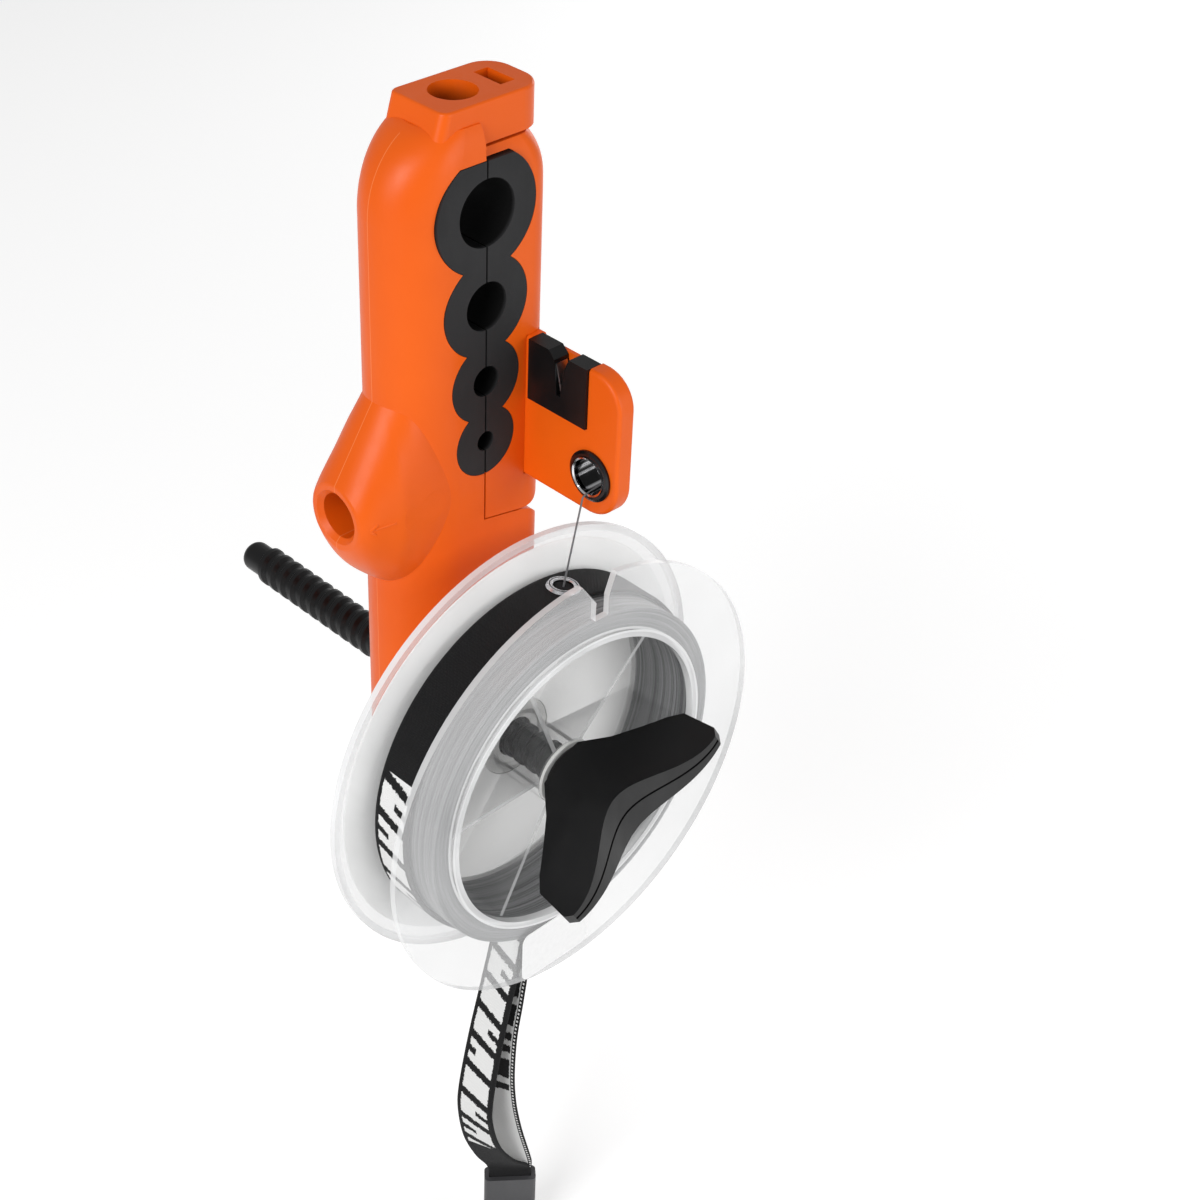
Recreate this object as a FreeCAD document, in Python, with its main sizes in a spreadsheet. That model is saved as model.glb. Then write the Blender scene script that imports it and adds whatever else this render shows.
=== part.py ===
"""Fishing line winder: a clamp that grips a rod blank and carries a filler spool on a screw spindle.

Frame: the origin is the centre of the third clamp bore, half way through the clamp.  +X points
from the fixed body to the jaw, +Y runs backwards along the clamped rod, and +Z is up.  The spool
turns about Y, below the clamp and in front of it.
"""
import FreeCAD, Part
import math
import os
from FreeCAD import Placement, Rotation, Vector

doc = FreeCAD.newDocument("line_winder")

# ---------------------------------------------------------------- driving dimensions, millimetres
SIZES = {
    # column: the moulded grip that the body and the jaw share
    "column_depth": (20.0, "front to back"),
    "column_left": (20.0, "seam to the left side"),
    "column_right": (16.5, "seam to the right side"),
    "left_round": (13.0, "length of the elliptical round on the left side"),
    "right_round": (4.5, "corner radius on the right side"),
    "column_bottom": (95.0, "clamp bore 3 down to the bottom end"),
    "bottom_round": (4.0, "edge radius of the bottom end"),
    "shoulder_start": (36.0, "height where the shoulder starts to narrow"),
    "shoulder_rise": (17.0, "shoulder's elliptical outline, half its height"),
    "shoulder_reach": (15.0, "shoulder's elliptical outline, half its width"),
    "shoulder_thin": (2.0, "narrowing of each side at the cap's foot"),
    "seam_gap": (0.4, "gap between the closed jaw and the body"),
    # cap over the jaw
    "cap_top": (55.7, "height of the cap's top face"),
    "cap_under": (47.6, "height of the cap's underside over the jaw"),
    "cap_foot": (52.1, "height where the cap's left side meets the shoulder"),
    "cap_left": (8.3, "seam to the cap's left side, at the top"),
    "cap_foot_left": (9.4, "seam to the cap's left side, at its foot"),
    "cap_right": (16.5, "seam to the cap's right side"),
    "cap_depth": (15.4, "front to back of the cap"),
    "cap_corner": (5.5, "corner radius of the cap's right end"),
    "cap_left_corner": (2.0, "corner radius of the cap's left end"),
    "cap_edge": (0.6, "round of the cap's top edge"),
    "cap_hole_radius": (4.7, "round hole in the cap"),
    "cap_hole_offset": (0.5, "seam to the round hole's axis"),
    "cap_hole_below": (1.0, "round hole below the cap's underside"),
    "cap_slot_offset": (10.5, "seam to the slot's centre"),
    "cap_slot_width": (3.6, "slot along X"),
    "cap_slot_depth": (7.4, "slot along Y"),
    # clamp bores and their rubber lining
    "rubber_wall": (5.3, "rubber round each bore"),
    "rubber_top": (45.5, "height of the lining's flat top"),
    "bore_butt_radius": (6.8, "bore 1, for rod butts"),
    "bore_butt_height": (35.3, "bore 1 above bore 3"),
    "bore_upper_radius": (5.0, "bore 2"),
    "bore_upper_height": (16.16, "bore 2 above bore 3"),
    "bore_rod_radius": (3.2, "bore 3"),
    "bore_tip_radius": (2.1, "bore 4, for rod tips"),
    "bore_tip_drop": (13.4, "bore 4 below bore 3"),
    "pad_slip": (0.1, "clearance of the rubber in its pocket"),
    # jaw hinge
    "pivot_offset": (8.2, "seam to the hinge pin"),
    "jaw_foot": (31.6, "bore 3 down to the jaw's lower end at the seam"),
    "jaw_foot_slope": (10.5, "fall of the jaw's lower edge to the right, degrees"),
    "jaw_corner": (5.5, "lower right corner of the jaw"),
    "jaw_clearance": (0.3, "jaw to the body below it"),
    "jaw_top_gap": (0.6, "jaw to the cap's underside"),
    "jaw_travel": (20.0, "opening angle, degrees"),
    "hinge_pin_radius": (1.5, "hinge pin"),
    "hinge_pin_slip": (0.05, "radial clearance of the pin in the jaw"),
    "hinge_pin_length": (16.0, "hinge pin"),
    "tongue_half": (5.2, "half width and end radius of the jaw's tongue"),
    "tongue_depth": (12.0, "front to back of the tongue"),
    "tongue_side_gap": (0.3, "tongue to the sides of its slot"),
    "tongue_swing_gap": (0.95, "round end of the tongue to its slot"),
    "spring_room_radius": (3.7, "recess in the tongue for its spring"),
    "spring_room_depth": (3.6, "recess in the tongue for its spring"),
    "jaw_spring_wire": (0.8, "wire of the torsion spring"),
    "jaw_spring_radius": (2.5, "mean coil radius of the torsion spring"),
    "jaw_spring_turns": (2.5, "torsion spring"),
    # side boss, which takes the spindle for casting reels
    "boss_reach": (29.8, "seam to the boss's end face"),
    "boss_drop": (23.24, "bore 3 down to the boss's axis"),
    "boss_end_radius": (7.0, "boss at its end face"),
    "boss_bore_radius": (4.75, "bore in the boss"),
    "boss_bore_length": (20.0, "depth of the bore in the boss"),
    "boss_lip": (1.0, "chamfer at the bore's mouth"),
    "boss_flare_up": (27.0, "boss axis up to where the bulge leaves the column"),
    "boss_flare_down": (21.0, "boss axis down to where the bulge leaves the column"),
    "boss_flare_length": (13.0, "boss's end face to where the bulge is full"),
    "boss_edge": (1.0, "round of the boss's end face"),
    "boss_sink": (0.03, "bulge below the column's front and rear faces"),
    # screws
    "screw_head_radius": (2.3, "pan head"),
    "screw_head_height": (1.6, "pan head"),
    "screw_radius": (1.2, "shank"),
    "screw_length": (12.5, "under the head"),
    "screw_sink": (1.8, "head recess depth"),
    "screw_slip": (0.1, "clearance round head and shank"),
    "body_screw_beyond": (6.2, "waist of the lining to a screw of the body"),
    "jaw_screw_beyond": (5.2, "waist of the lining to a screw of the jaw"),
    "screw_left_margin": (7.0, "column's left side to the lower screws"),
    "screw_right_margin": (5.0, "column's right side to the lower screws"),
    "boss_screw_drop": (20.0, "boss axis down to the screw below it"),
    "hinge_screw_drop": (10.0, "hinge pin down to the screw below it"),
    "foot_screw_rise": (6.15, "bottom end up to the lowest screws"),
    # spindle
    "spindle_drop": (81.85, "bore 3 down to the spindle's axis"),
    "spindle_back": (70.6, "mid plane to the spindle's back end"),
    "spindle_core": (3.5, "core radius"),
    "spindle_major": (4.27, "radius over the thread"),
    "thread_pitch": (3.6, "one ridge to the next"),
    "thread_root_width": (2.5, "ridge at its foot"),
    "thread_crest_width": (1.1, "ridge at its crest"),
    "thread_slip": (0.25, "clearance of the thread in its nut"),
    "spindle_bore_radius": (4.75, "bore through the body"),
    "nut_across": (13.0, "nut across flats"),
    "nut_length": (10.0, "nut"),
    "nut_slip": (0.1, "nut to its pocket"),
    "spindle_head_across": (9.0, "hexagon head inside the knob"),
    "spindle_head_length": (4.0, "hexagon head inside the knob"),
    "knob_head_depth": (9.0, "hub face to the hexagon head"),
    "side_nut_sink": (14.5, "boss's end face to the middle of its nut"),
    "spindle_head_slip": (0.1, "hexagon head to its pocket"),
    # spool
    "flange_radius": (50.0, "both flanges"),
    "flange_front": (39.9, "mid plane to the front flange's outer face"),
    "flange_back": (20.2, "mid plane to the rear flange's outer face"),
    "flange_wall": (1.4, "flange thickness"),
    "drum_inner": (33.5, "inside of the drum wall"),
    "drum_wall": (1.0, "drum wall"),
    "hub_outer": (7.5, "outside of the hub tube"),
    "hub_inner": (6.3, "inside of the hub tube"),
    "hub_front": (35.0, "mid plane to the hub tube's front end"),
    "web_wall": (1.0, "web thickness"),
    "web_front": (37.5, "mid plane to the webs' front edges at the drum"),
    "washer_room": (1.2, "webs' slope stops this far from the thrust washer"),
    "web_count": (6, "webs"),
    "web_turn": (-6.0, "first web above +X, degrees"),
    "notch_offset": (2.2, "line notch, spool axis to its left side"),
    "notch_width": (3.5, "line notch"),
    "notch_length": (10.0, "line notch from the rim"),
    "notch_flare": (5.5, "flared part of the notch from the rim"),
    "notch_flare_left": (4.7, "flare of the notch's left side"),
    "notch_flare_right": (2.4, "flare of the notch's right side"),
    "winding_radius": (39.2, "wound line"),
    "winding_slip": (0.1, "wound line to drum and flanges"),
    "label_radius": (46.5, "paper label on the rear flange"),
    "label_hole": (9.4, "hole in the label"),
    "paper": (0.15, "label thickness"),
    "sticker_offset": (-6.0, "spool axis to the sticker's centre"),
    "sticker_inset": (8.8, "flange's rim to the sticker's centre"),
    "sticker_width": (19.0, "sticker"),
    "sticker_height": (13.0, "sticker"),
    "sticker_corner": (2.0, "sticker"),
    # parts round the spindle, front to back
    "stack_gap": (0.2, "running gap between the parts that slide on each other"),
    "stack_bore": (4.6, "bore of washers and plate"),
    "thrust_thick": (0.7, "thrust washer"),
    "thrust_radius": (7.3, "thrust washer"),
    "friction_thick": (1.0, "friction washer"),
    "friction_radius": (9.0, "friction washer"),
    "plate_thick": (1.5, "pressure plate"),
    "plate_radius": (11.0, "pressure plate"),
    "plate_collar_radius": (5.9, "pressure plate, collar inside the spring"),
    "plate_collar_length": (3.0, "pressure plate, collar inside the spring"),
    "spring_wire": (1.3, "tension spring"),
    "spring_radius": (7.4, "tension spring, mean coil radius"),
    "spring_turns": (3.5, "tension spring"),
    "spring_seat_radius": (8.6, "recess in the body for the spring"),
    "spring_seat_depth": (3.0, "recess in the body for the spring"),
    # wing knob
    "knob_turn": (32.0, "long axis above +X, degrees"),
    "knob_span": (48.8, "tip to tip"),
    "knob_hub_radius": (7.2, "round hub behind the wings"),
    "knob_dip": (17.0, "hub face to the middle of the front edge"),
    "knob_depth": (23.2, "hub face to the front of the tips"),
    "knob_root": (5.6, "hub face to the back of the wings"),
    "knob_tip_back": (11.5, "hub face to the back of the tips"),
    "knob_middle": (7.2, "half thickness in the middle"),
    "knob_waist": (4.3, "half thickness half way out"),
    "knob_tip": (1.7, "half thickness at the tips"),
    "knob_groove": (0.7, "parting groove along the front edge"),
    "knob_belly_reach": (11.468, "axis to where the front edge bellies out"),
    "knob_belly": (1.0, "belly of the front edge, forward of the straight line"),
    "knob_tip_inset": (1.4, "tip's rounding along the span"),
    "knob_tip_round": (1.6, "tip's rounding along the axis"),
    "knob_heel_inset": (0.9, "tip to the heel, along the span"),
    "knob_heel_rise": (2.4, "heel forward of the back of the tips"),
    "knob_shoulder_inset": (3.6, "tip to the back of the wing, along the span"),
    "knob_root_reach": (10.5, "axis to where the wings leave the hub"),
    "knob_hub_round": (1.2, "hub's rear edge"),
    # guide arm on the jaw
    "arm_left": (10.5, "seam to the arm's left face"),
    "arm_thick": (4.2, "arm"),
    "arm_reach": (35.8, "mid plane to the arm's front end"),
    "arm_top": (6.2, "top edge above bore 3"),
    "arm_drop": (25.5, "bottom edge below bore 3"),
    "arm_root": (5.0, "tenon inside the jaw"),
    "arm_slip": (0.05, "tenon to its pocket"),
    "arm_upper_round": (7.0, "upper front corner"),
    "arm_lower_round": (7.5, "lower front corner"),
    "arm_edge_round": (0.8, "edges of the arm"),
    "arm_land": (1.2, "orange land between jaw and cutter"),
    # line cutter let into the arm's top edge
    "cutter_length": (16.0, "along the arm"),
    "cutter_wide": (3.8, "across the arm"),
    "cutter_proud": (0.6, "block beyond the arm's left face"),
    "cutter_top": (6.2, "top face above bore 3"),
    "cutter_drop": (7.0, "bottom below bore 3"),
    "cutter_slip": (0.1, "cutter to its pocket"),
    "cutter_wall_drop": (1.2, "arm's top down to the wall behind the cutter"),
    "mouth_back": (5.6, "cutter's back face to the slot's mouth, back side"),
    "mouth_front": (11.1, "cutter's back face to the slot's mouth, front side"),
    "throat_back": (7.2, "cutter's back face to the slot's throat, back side"),
    "throat_back_depth": (1.6, "depth of the throat's back side"),
    "throat_front": (9.8, "cutter's back face to the slot's throat, front side"),
    "throat_front_depth": (2.7, "depth of the throat's front side"),
    "slot_middle": (8.5, "cutter's back face to the middle of the slot's floor"),
    "slot_floor": (0.9, "width of the slot's floor"),
    "slot_depth": (9.0, "slot"),
    "blade_thick": (0.4, "blade"),
    "blade_width": (2.8, "blade along its edge"),
    "blade_length": (9.4, "blade across its edge"),
    "blade_slip": (0.05, "blade to its seat"),
    "blade_lean": (74.5, "blade's rise over the slot, degrees"),
    "blade_lift": (2.05, "slot's floor to the blade's middle"),
    # line guide ring
    "ring_inset": (6.95, "arm's front end to the ring's axis"),
    "ring_rise": (8.75, "arm's bottom edge up to the ring's axis"),
    "ring_outer": (5.4, "bezel"),
    "ring_neck": (4.7, "bezel through the arm"),
    "ring_seat": (4.2, "bezel inside"),
    "ring_bore": (3.6, "liner inside"),
    "ring_lip": (0.8, "bezel beyond the arm, each side"),
    "ring_slip": (0.05, "ring fits"),
    # elastic band and its tail
    "band_width": (10.0, "webbing"),
    "band_thick": (0.9, "webbing"),
    "band_back": (22.2, "mid plane to the band's back edge"),
    "band_slip": (0.3, "wound line to the band"),
    "band_fold": (1.4, "fold where the tails leave the loop"),
    "band_exit": (5.6, "spool axis to the middle between the tails"),
    "band_ply_gap": (0.8, "between the tails where they leave"),
    "tail_drop": (138.2, "spool axis down to the tails' lower ends"),
    "tail_straight": (3.0, "straight run of the tails above the clip"),
    "outer_bow": (11.0, "bulge of the outer tail away from the straight line"),
    "outer_peak": (0.66, "share of the tail's fall where the outer tail bulges most"),
    "inner_bow": (5.0, "bulge of the inner tail away from the straight line"),
    "inner_peak": (0.55, "share of the tail's fall where the inner tail bulges most"),
    "twist_start": (-146.0, "height below which the tails twist"),
    "eyelet_turn": (82.0, "eyelet above +X, degrees"),
    "eyelet_outer": (3.6, "eyelet rim"),
    "eyelet_neck": (2.6, "eyelet through the webbing"),
    "eyelet_hole": (2.05, "hole"),
    "eyelet_rim": (0.5, "rim height"),
    "eyelet_slip": (0.05, "eyelet to its hole in the webbing"),
    "clip_width": (12.4, "strap clip"),
    "clip_thick": (4.4, "strap clip"),
    "clip_height": (21.0, "strap clip"),
    "clip_grip": (8.0, "webbing inside the clip"),
    "clip_slip": (0.05, "webbing to the clip's mouth"),
    "ply_spread": (1.1, "tail to tail in the clip, in thicknesses of the webbing"),
    "clip_turn": (50.0, "strap clip about Z, degrees"),
    "line_radius": (0.2, "fishing line"),
    "line_bend": (1.0, "radius of the line's bend at the guide ring"),
    "line_clear": (0.1, "line over the ring's lower lip"),
    "line_end": (1.5, "free end of the line beyond the ring"),
}

sheet = doc.addObject("Spreadsheet::Sheet", "dims")
for row, (name, (number, note)) in enumerate(SIZES.items(), start=1):
    sheet.set(f"A{row}", name)
    sheet.set(f"B{row}", str(number))
    sheet.setAlias(f"B{row}", name)
    sheet.set(f"C{row}", note)
doc.recompute()


def size(expression):
    """Value of an expression over the sheet, such as 'dims.column_depth / 2'."""
    return float(sheet.evalExpression(expression))


class Dims:
    """The sheet's cells as attributes, for shapes that Part's functions make."""

    def __getattr__(self, name):
        return float(getattr(sheet, name))


d = Dims()
UP = Vector(0, 0, 1)
BACK = Vector(0, 1, 0)
RIGHT = Vector(1, 0, 0)
FAR = 400.0  # reach of the cutting half spaces, beyond every piece

# ---------------------------------------------------------------- places that several pieces share
HALF_DEPTH = d.column_depth / 2
SLOPE = math.radians(d.jaw_foot_slope)
SHOULDER_RADIUS = d.column_right - d.pivot_offset  # the body's shoulder is round about the hinge
PIVOT = Vector(d.pivot_offset, 0, -d.jaw_foot - d.pivot_offset * math.tan(SLOPE)
               - (SHOULDER_RADIUS + d.jaw_clearance) / math.cos(SLOPE))
SPOOL_AXIS = Vector(0, 0, -d.spindle_drop)
LOBES = [
    # height above bore 3, bore radius
    (d.bore_butt_height, d.bore_butt_radius),
    (d.bore_upper_height, d.bore_upper_radius),
    (0.0, d.bore_rod_radius),
    (-d.bore_tip_drop, d.bore_tip_radius),
]
HUB_FACE = d.hub_front + 2 * d.stack_gap + d.thrust_thick  # knob's hub face, forward of mid plane
BAND_RADIUS = d.winding_radius + d.band_slip + d.band_thick / 2  # middle of the webbing
BAND_MIDDLE = -d.band_back - d.band_width / 2
CLIP_TOP = -d.spindle_drop - d.tail_drop + d.clip_grip


# ---------------------------------------------------------------- helpers: solids from Part
def box(x0, x1, y0, y1, z0, z1):
    return Part.makeBox(x1 - x0, y1 - y0, z1 - z0, Vector(x0, y0, z0))


def rod_y(radius, x, z, y0, y1):
    """Cylinder along Y."""
    return Part.makeCylinder(radius, y1 - y0, Vector(x, y0, z), BACK)


def through_y(radius, x, z):
    return rod_y(radius, x, z, -FAR, FAR)


def hexagon_y(across, x, z, y0, y1):
    """Hexagonal prism along Y, flats up and down."""
    corners = []
    for k in range(6):
        turn = math.radians(60 * k)
        reach = across / math.sqrt(3)
        corners.append(Vector(x + reach * math.cos(turn), y0, z + reach * math.sin(turn)))
    face = Part.Face(Part.makePolygon(corners + corners[:1]))
    return face.extrude(Vector(0, y1 - y0, 0))


def rounded_path(points, radii):
    """Wire of straight runs joined by tangent arcs, one radius for each inner point."""
    edges = []
    start = points[0]
    for before, corner, after, radius in zip(points, points[1:], points[2:], radii):
        inward = (before - corner).normalize()
        outward = (after - corner).normalize()
        half = inward.getAngle(outward) / 2
        trim = radius / math.tan(half)
        middle = (inward + outward).normalize()
        centre = corner + middle * (radius / math.sin(half))
        arc_start = corner + inward * trim
        arc_end = corner + outward * trim
        edges.append(Part.LineSegment(start, arc_start).toShape())
        edges.append(Part.Arc(arc_start, centre - middle * radius, arc_end).toShape())
        start = arc_end
    edges.append(Part.LineSegment(start, points[-1]).toShape())
    return edges


def largest_radii(points):
    """Arc radii as large as the two runs beside each inner point allow."""
    radii = []
    for before, corner, after in zip(points, points[1:], points[2:]):
        shorter = min((corner - before).Length, (after - corner).Length)
        turn = math.pi - (before - corner).getAngle(after - corner)
        radii.append(0.45 * shorter / math.tan(turn / 2))
    return radii


def swept(edges, profile, binormal=None):
    """Solid swept along a chain of edges by a closed profile wire."""
    maker = Part.BRepOffsetAPI.MakePipeShell(Part.Wire(edges))
    if binormal is not None:
        maker.setBiNormalMode(binormal)
    maker.add(profile)
    maker.build()
    maker.makeSolid()
    return maker.shape()


def helix_y(radius, pitch, length, y0):
    """Right-handed helix about the Y axis, one edge for each turn, starting at y0."""
    wire = Part.makeLongHelix(pitch, length, radius, 0, False)
    wire.Placement = Placement(Vector(0, y0, 0), Rotation(RIGHT, -90))
    return wire


def along_helix(path, profile):
    maker = Part.BRepOffsetAPI.MakePipeShell(path)
    maker.setFrenetMode(True)
    maker.add(profile)
    maker.build()
    maker.makeSolid()
    return maker.shape()


def ridge(core, major, root_width, crest_width, pitch, y0, turns):
    """Helical ridge about the Y axis; its foot is sunk so that it fuses with or cuts a core."""
    slope = (root_width - crest_width) / 2 / (major - core)
    sunk = core * 0.92
    foot = root_width / 2 + slope * (core - sunk)
    corners = [
        Vector(sunk, y0 - foot, 0),
        Vector(major, y0 - crest_width / 2, 0),
        Vector(major, y0 + crest_width / 2, 0),
        Vector(sunk, y0 + foot, 0),
    ]
    return along_helix(helix_y(core, pitch, turns * pitch, y0),
                       Part.makePolygon(corners + corners[:1]))


def coil_y(wire_radius, mean_radius, pitch, turns, y0):
    """Coil spring about the Y axis, of six-sided wire."""
    corners = [Vector(mean_radius + wire_radius * math.cos(math.radians(60 * k)),
                      y0 + wire_radius * math.sin(math.radians(60 * k)), 0) for k in range(6)]
    return along_helix(helix_y(mean_radius, pitch, pitch * turns, y0),
                       Part.makePolygon(corners + corners[:1]))


def part_feature(label, shape, base=Vector(), rotation=Rotation()):
    """Node whose shape Part's functions made about its own origin."""
    node = doc.addObject("Part::Feature", label)
    node.Label = label
    node.Shape = shape
    node.Placement = Placement(base, rotation)
    return node


# ---------------------------------------------------------------- helpers: PartDesign
def new_body(label):
    body = doc.addObject("PartDesign::Body", label)
    body.Label = label
    return body


def sketch_on(body, role, name, offset="0"):
    """Sketch on one of the body's origin planes, moved along the plane's normal."""
    sketch = body.newObject("Sketcher::SketchObject", name)
    plane = next(feature for feature in body.Origin.OriginFeatures if feature.Role == role)
    sketch.AttachmentSupport = [(plane, "")]
    sketch.MapMode = "FlatFace"
    sketch.setExpression("AttachmentOffset.Base.z", offset)
    return sketch


def bind(sketch, constraint, name, expression):
    index = sketch.addConstraint(constraint)
    sketch.renameConstraint(index, name)
    sketch.setExpression(f"Constraints.{name}", expression)


def place_point(sketch, edge, point, name, across, along):
    """Ties a sketch point to expressions for its two coordinates."""
    import Sketcher
    for axis, kind, expression in ((-2, "DistanceX", across), (-1, "DistanceY", along)):
        if expression == "0":
            sketch.addConstraint(Sketcher.Constraint("PointOnObject", edge, point, axis))
        else:
            made = Sketcher.Constraint(kind, -1, 1, edge, point, size(expression))
            bind(sketch, made, name + kind[-1], expression)


def polygon(sketch, name, corners):
    """Closed outline of straight edges, each corner given by two expressions."""
    import Sketcher
    spots = [Vector(size(x), size(y), 0) for x, y in corners]
    first = sketch.GeometryCount
    for here, there in zip(spots, spots[1:] + spots[:1]):
        sketch.addGeometry(Part.LineSegment(here, there))
    count = len(spots)
    for k in range(count):
        follower = first + (k + 1) % count
        sketch.addConstraint(Sketcher.Constraint("Coincident", first + k, 2, follower, 1))
    for k, (x, y) in enumerate(corners):
        place_point(sketch, first + k, 1, f"{name}{k}", x, y)


def circle(sketch, name, radius, x="0", y="0"):
    import Sketcher
    index = sketch.addGeometry(Part.Circle(Vector(size(x), size(y), 0), UP, size(radius)))
    if x == "0" and y == "0":
        sketch.addConstraint(Sketcher.Constraint("Coincident", index, 3, -1, 1))
    else:
        place_point(sketch, index, 3, name, x, y)
    bind(sketch, Sketcher.Constraint("Radius", index, size(radius)), name + "R", radius)


def pad(body, sketch, name, length, reverse=False, middle=False):
    feature = body.newObject("PartDesign::Pad", name)
    feature.Profile = sketch
    feature.Reversed = reverse
    if middle:
        feature.Midplane = True
    feature.setExpression("Length", length)
    doc.recompute()
    return feature


def pocket(body, sketch, name, length, reverse=False):
    """Pocket that has to remove material."""
    before = body.Shape.Volume
    feature = body.newObject("PartDesign::Pocket", name)
    feature.Profile = sketch
    feature.Reversed = reverse
    feature.setExpression("Length", length)
    doc.recompute()
    if body.Shape.Volume > before - 1e-6:
        raise RuntimeError(f"{name} cuts nothing")
    return feature


def revolve(body, sketch, name, axis):
    feature = body.newObject("PartDesign::Revolution", name)
    feature.Profile = sketch
    feature.ReferenceAxis = (sketch, [axis])
    feature.Angle = 360
    doc.recompute()
    return feature


def groove(body, sketch, name, axis):
    """Turned cut that has to remove material."""
    before = body.Shape.Volume
    feature = body.newObject("PartDesign::Groove", name)
    feature.Profile = sketch
    feature.ReferenceAxis = (sketch, [axis])
    feature.Angle = 360
    doc.recompute()
    if body.Shape.Volume > before - 1e-6:
        raise RuntimeError(f"{name} cuts nothing")
    return feature


def fillet(body, base, name, radius, wanted):
    """Fillet on the edges of the body that the test 'wanted' picks."""
    names = [f"Edge{k}" for k, edge in enumerate(base.Shape.Edges, start=1) if wanted(edge)]
    feature = body.newObject("PartDesign::Fillet", name)
    feature.Base = (base, names)
    feature.setExpression("Radius", radius)
    doc.recompute()
    return feature


def ring_body(label, outer, inner, front, thick):
    """Flat ring about the spindle's axis; front is the expression for its front face."""
    body = new_body(label)
    sketch = sketch_on(body, "XZ_Plane", label + "_outline", front)
    circle(sketch, "outer", outer, "0", "-dims.spindle_drop")
    circle(sketch, "inner", inner, "0", "-dims.spindle_drop")
    pad(body, sketch, label + "_pad", thick, reverse=True)
    return body


# ---------------------------------------------------------------- clamp column, the shared form
def half_ellipse(middle, reach, half_depth, height):
    """Left half of an ellipse about (middle, 0), as a spline, whichever axis is the longer."""
    arc = Part.ArcOfCircle(Part.Circle(Vector(), UP, 1), math.pi / 2, 3 * math.pi / 2).toShape()
    stretch = FreeCAD.Matrix()
    stretch.scale(reach, half_depth, 1)
    arc = arc.transformGeometry(stretch)
    return arc.translated(Vector(middle, 0, height))


def column_section(left, right, half_depth, left_round, right_round, height):
    """Plan of the column: an elliptical round on the left, small corners on the right."""
    middle = -left + left_round
    flat = right - right_round
    side = half_depth - right_round
    slant = right_round * math.sqrt(0.5)

    def spot(x, y):
        return Vector(x, y, height)

    edges = [
        Part.LineSegment(spot(middle, -half_depth), spot(flat, -half_depth)),
        Part.Arc(spot(flat, -half_depth), spot(flat + slant, -side - slant), spot(right, -side)),
        Part.LineSegment(spot(right, -side), spot(right, side)),
        Part.Arc(spot(right, side), spot(flat + slant, side + slant), spot(flat, half_depth)),
        Part.LineSegment(spot(flat, half_depth), spot(middle, half_depth)),
    ]
    shapes = [edge.toShape() for edge in edges]
    return Part.Wire(Part.__sortEdges__(shapes + [half_ellipse(middle, left_round, half_depth, height)]))


def column():
    """Straight part of the column, rounded at its bottom end."""
    outline = column_section(d.column_left, d.column_right, HALF_DEPTH, d.left_round, d.right_round,
                             -d.column_bottom)
    face = Part.Face(outline)
    solid = face.extrude(Vector(0, 0, d.column_bottom + d.shoulder_start))
    bottom = [edge for edge in solid.Edges if edge.BoundBox.ZMax < -d.column_bottom + 0.01]
    return solid.makeFillet(d.bottom_round, bottom)


def half_section(left, half_depth, height, right=0.0):
    """Plan of the left half of the upper body, closed along the seam."""
    reach = left * d.left_round / d.column_left
    middle = -left + reach
    rim = half_ellipse(middle, reach, half_depth, height)
    front = Part.LineSegment(Vector(middle, -half_depth, height), Vector(right, -half_depth, height))
    seam = Part.LineSegment(Vector(right, -half_depth, height), Vector(right, half_depth, height))
    back = Part.LineSegment(Vector(right, half_depth, height), Vector(middle, half_depth, height))
    edges = [front.toShape(), seam.toShape(), back.toShape(), rim]
    return Part.Wire(Part.__sortEdges__(edges))


def shoulder_left(height):
    """Seam to the left side at a height of the shoulder, along a quarter of an ellipse."""
    rise = (height - d.shoulder_start) / d.shoulder_rise
    return d.column_left - d.shoulder_reach * (1 - math.sqrt(max(0.0, 1 - rise * rise)))


def upper_body():
    """Shoulder that narrows from the column to the cap, left of the seam."""
    sections = []
    for share in (0.0, 0.35, 0.6, 0.8, 0.92, 1.0):
        height = d.shoulder_start + share * (d.cap_foot - d.shoulder_start)
        deep = HALF_DEPTH - d.shoulder_thin * share ** 5
        sections.append(half_section(shoulder_left(height), deep, height))
    return Part.makeLoft(sections, True, False)


def cap():
    """Cap over the jaw; its drafted left side runs down into the shoulder."""
    half = d.cap_depth / 2
    draft = (d.cap_foot_left - d.cap_left) / (d.cap_top - d.cap_foot)
    low_left = d.cap_left + draft * (d.cap_top - d.cap_under)
    corners = [Vector(-d.cap_left, -half, d.cap_top), Vector(d.cap_right, -half, d.cap_top),
               Vector(d.cap_right, -half, d.cap_under), Vector(-low_left, -half, d.cap_under)]
    face = Part.Face(Part.makePolygon(corners + corners[:1]))
    solid = face.extrude(Vector(0, d.cap_depth, 0))

    def upright(edge):
        return edge.BoundBox.YLength < 0.01 and edge.BoundBox.ZLength > 0.01

    right = [edge for edge in solid.Edges if upright(edge) and edge.BoundBox.XMin > 0]
    solid = solid.makeFillet(d.cap_corner, right)
    left = [edge for edge in solid.Edges if upright(edge) and edge.BoundBox.XMax < 0]
    solid = solid.makeFillet(d.cap_left_corner, left)
    rim = [edge for edge in solid.Edges if edge.BoundBox.ZMin > d.cap_top - 0.01]
    return solid.makeFillet(d.cap_edge, rim)


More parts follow.
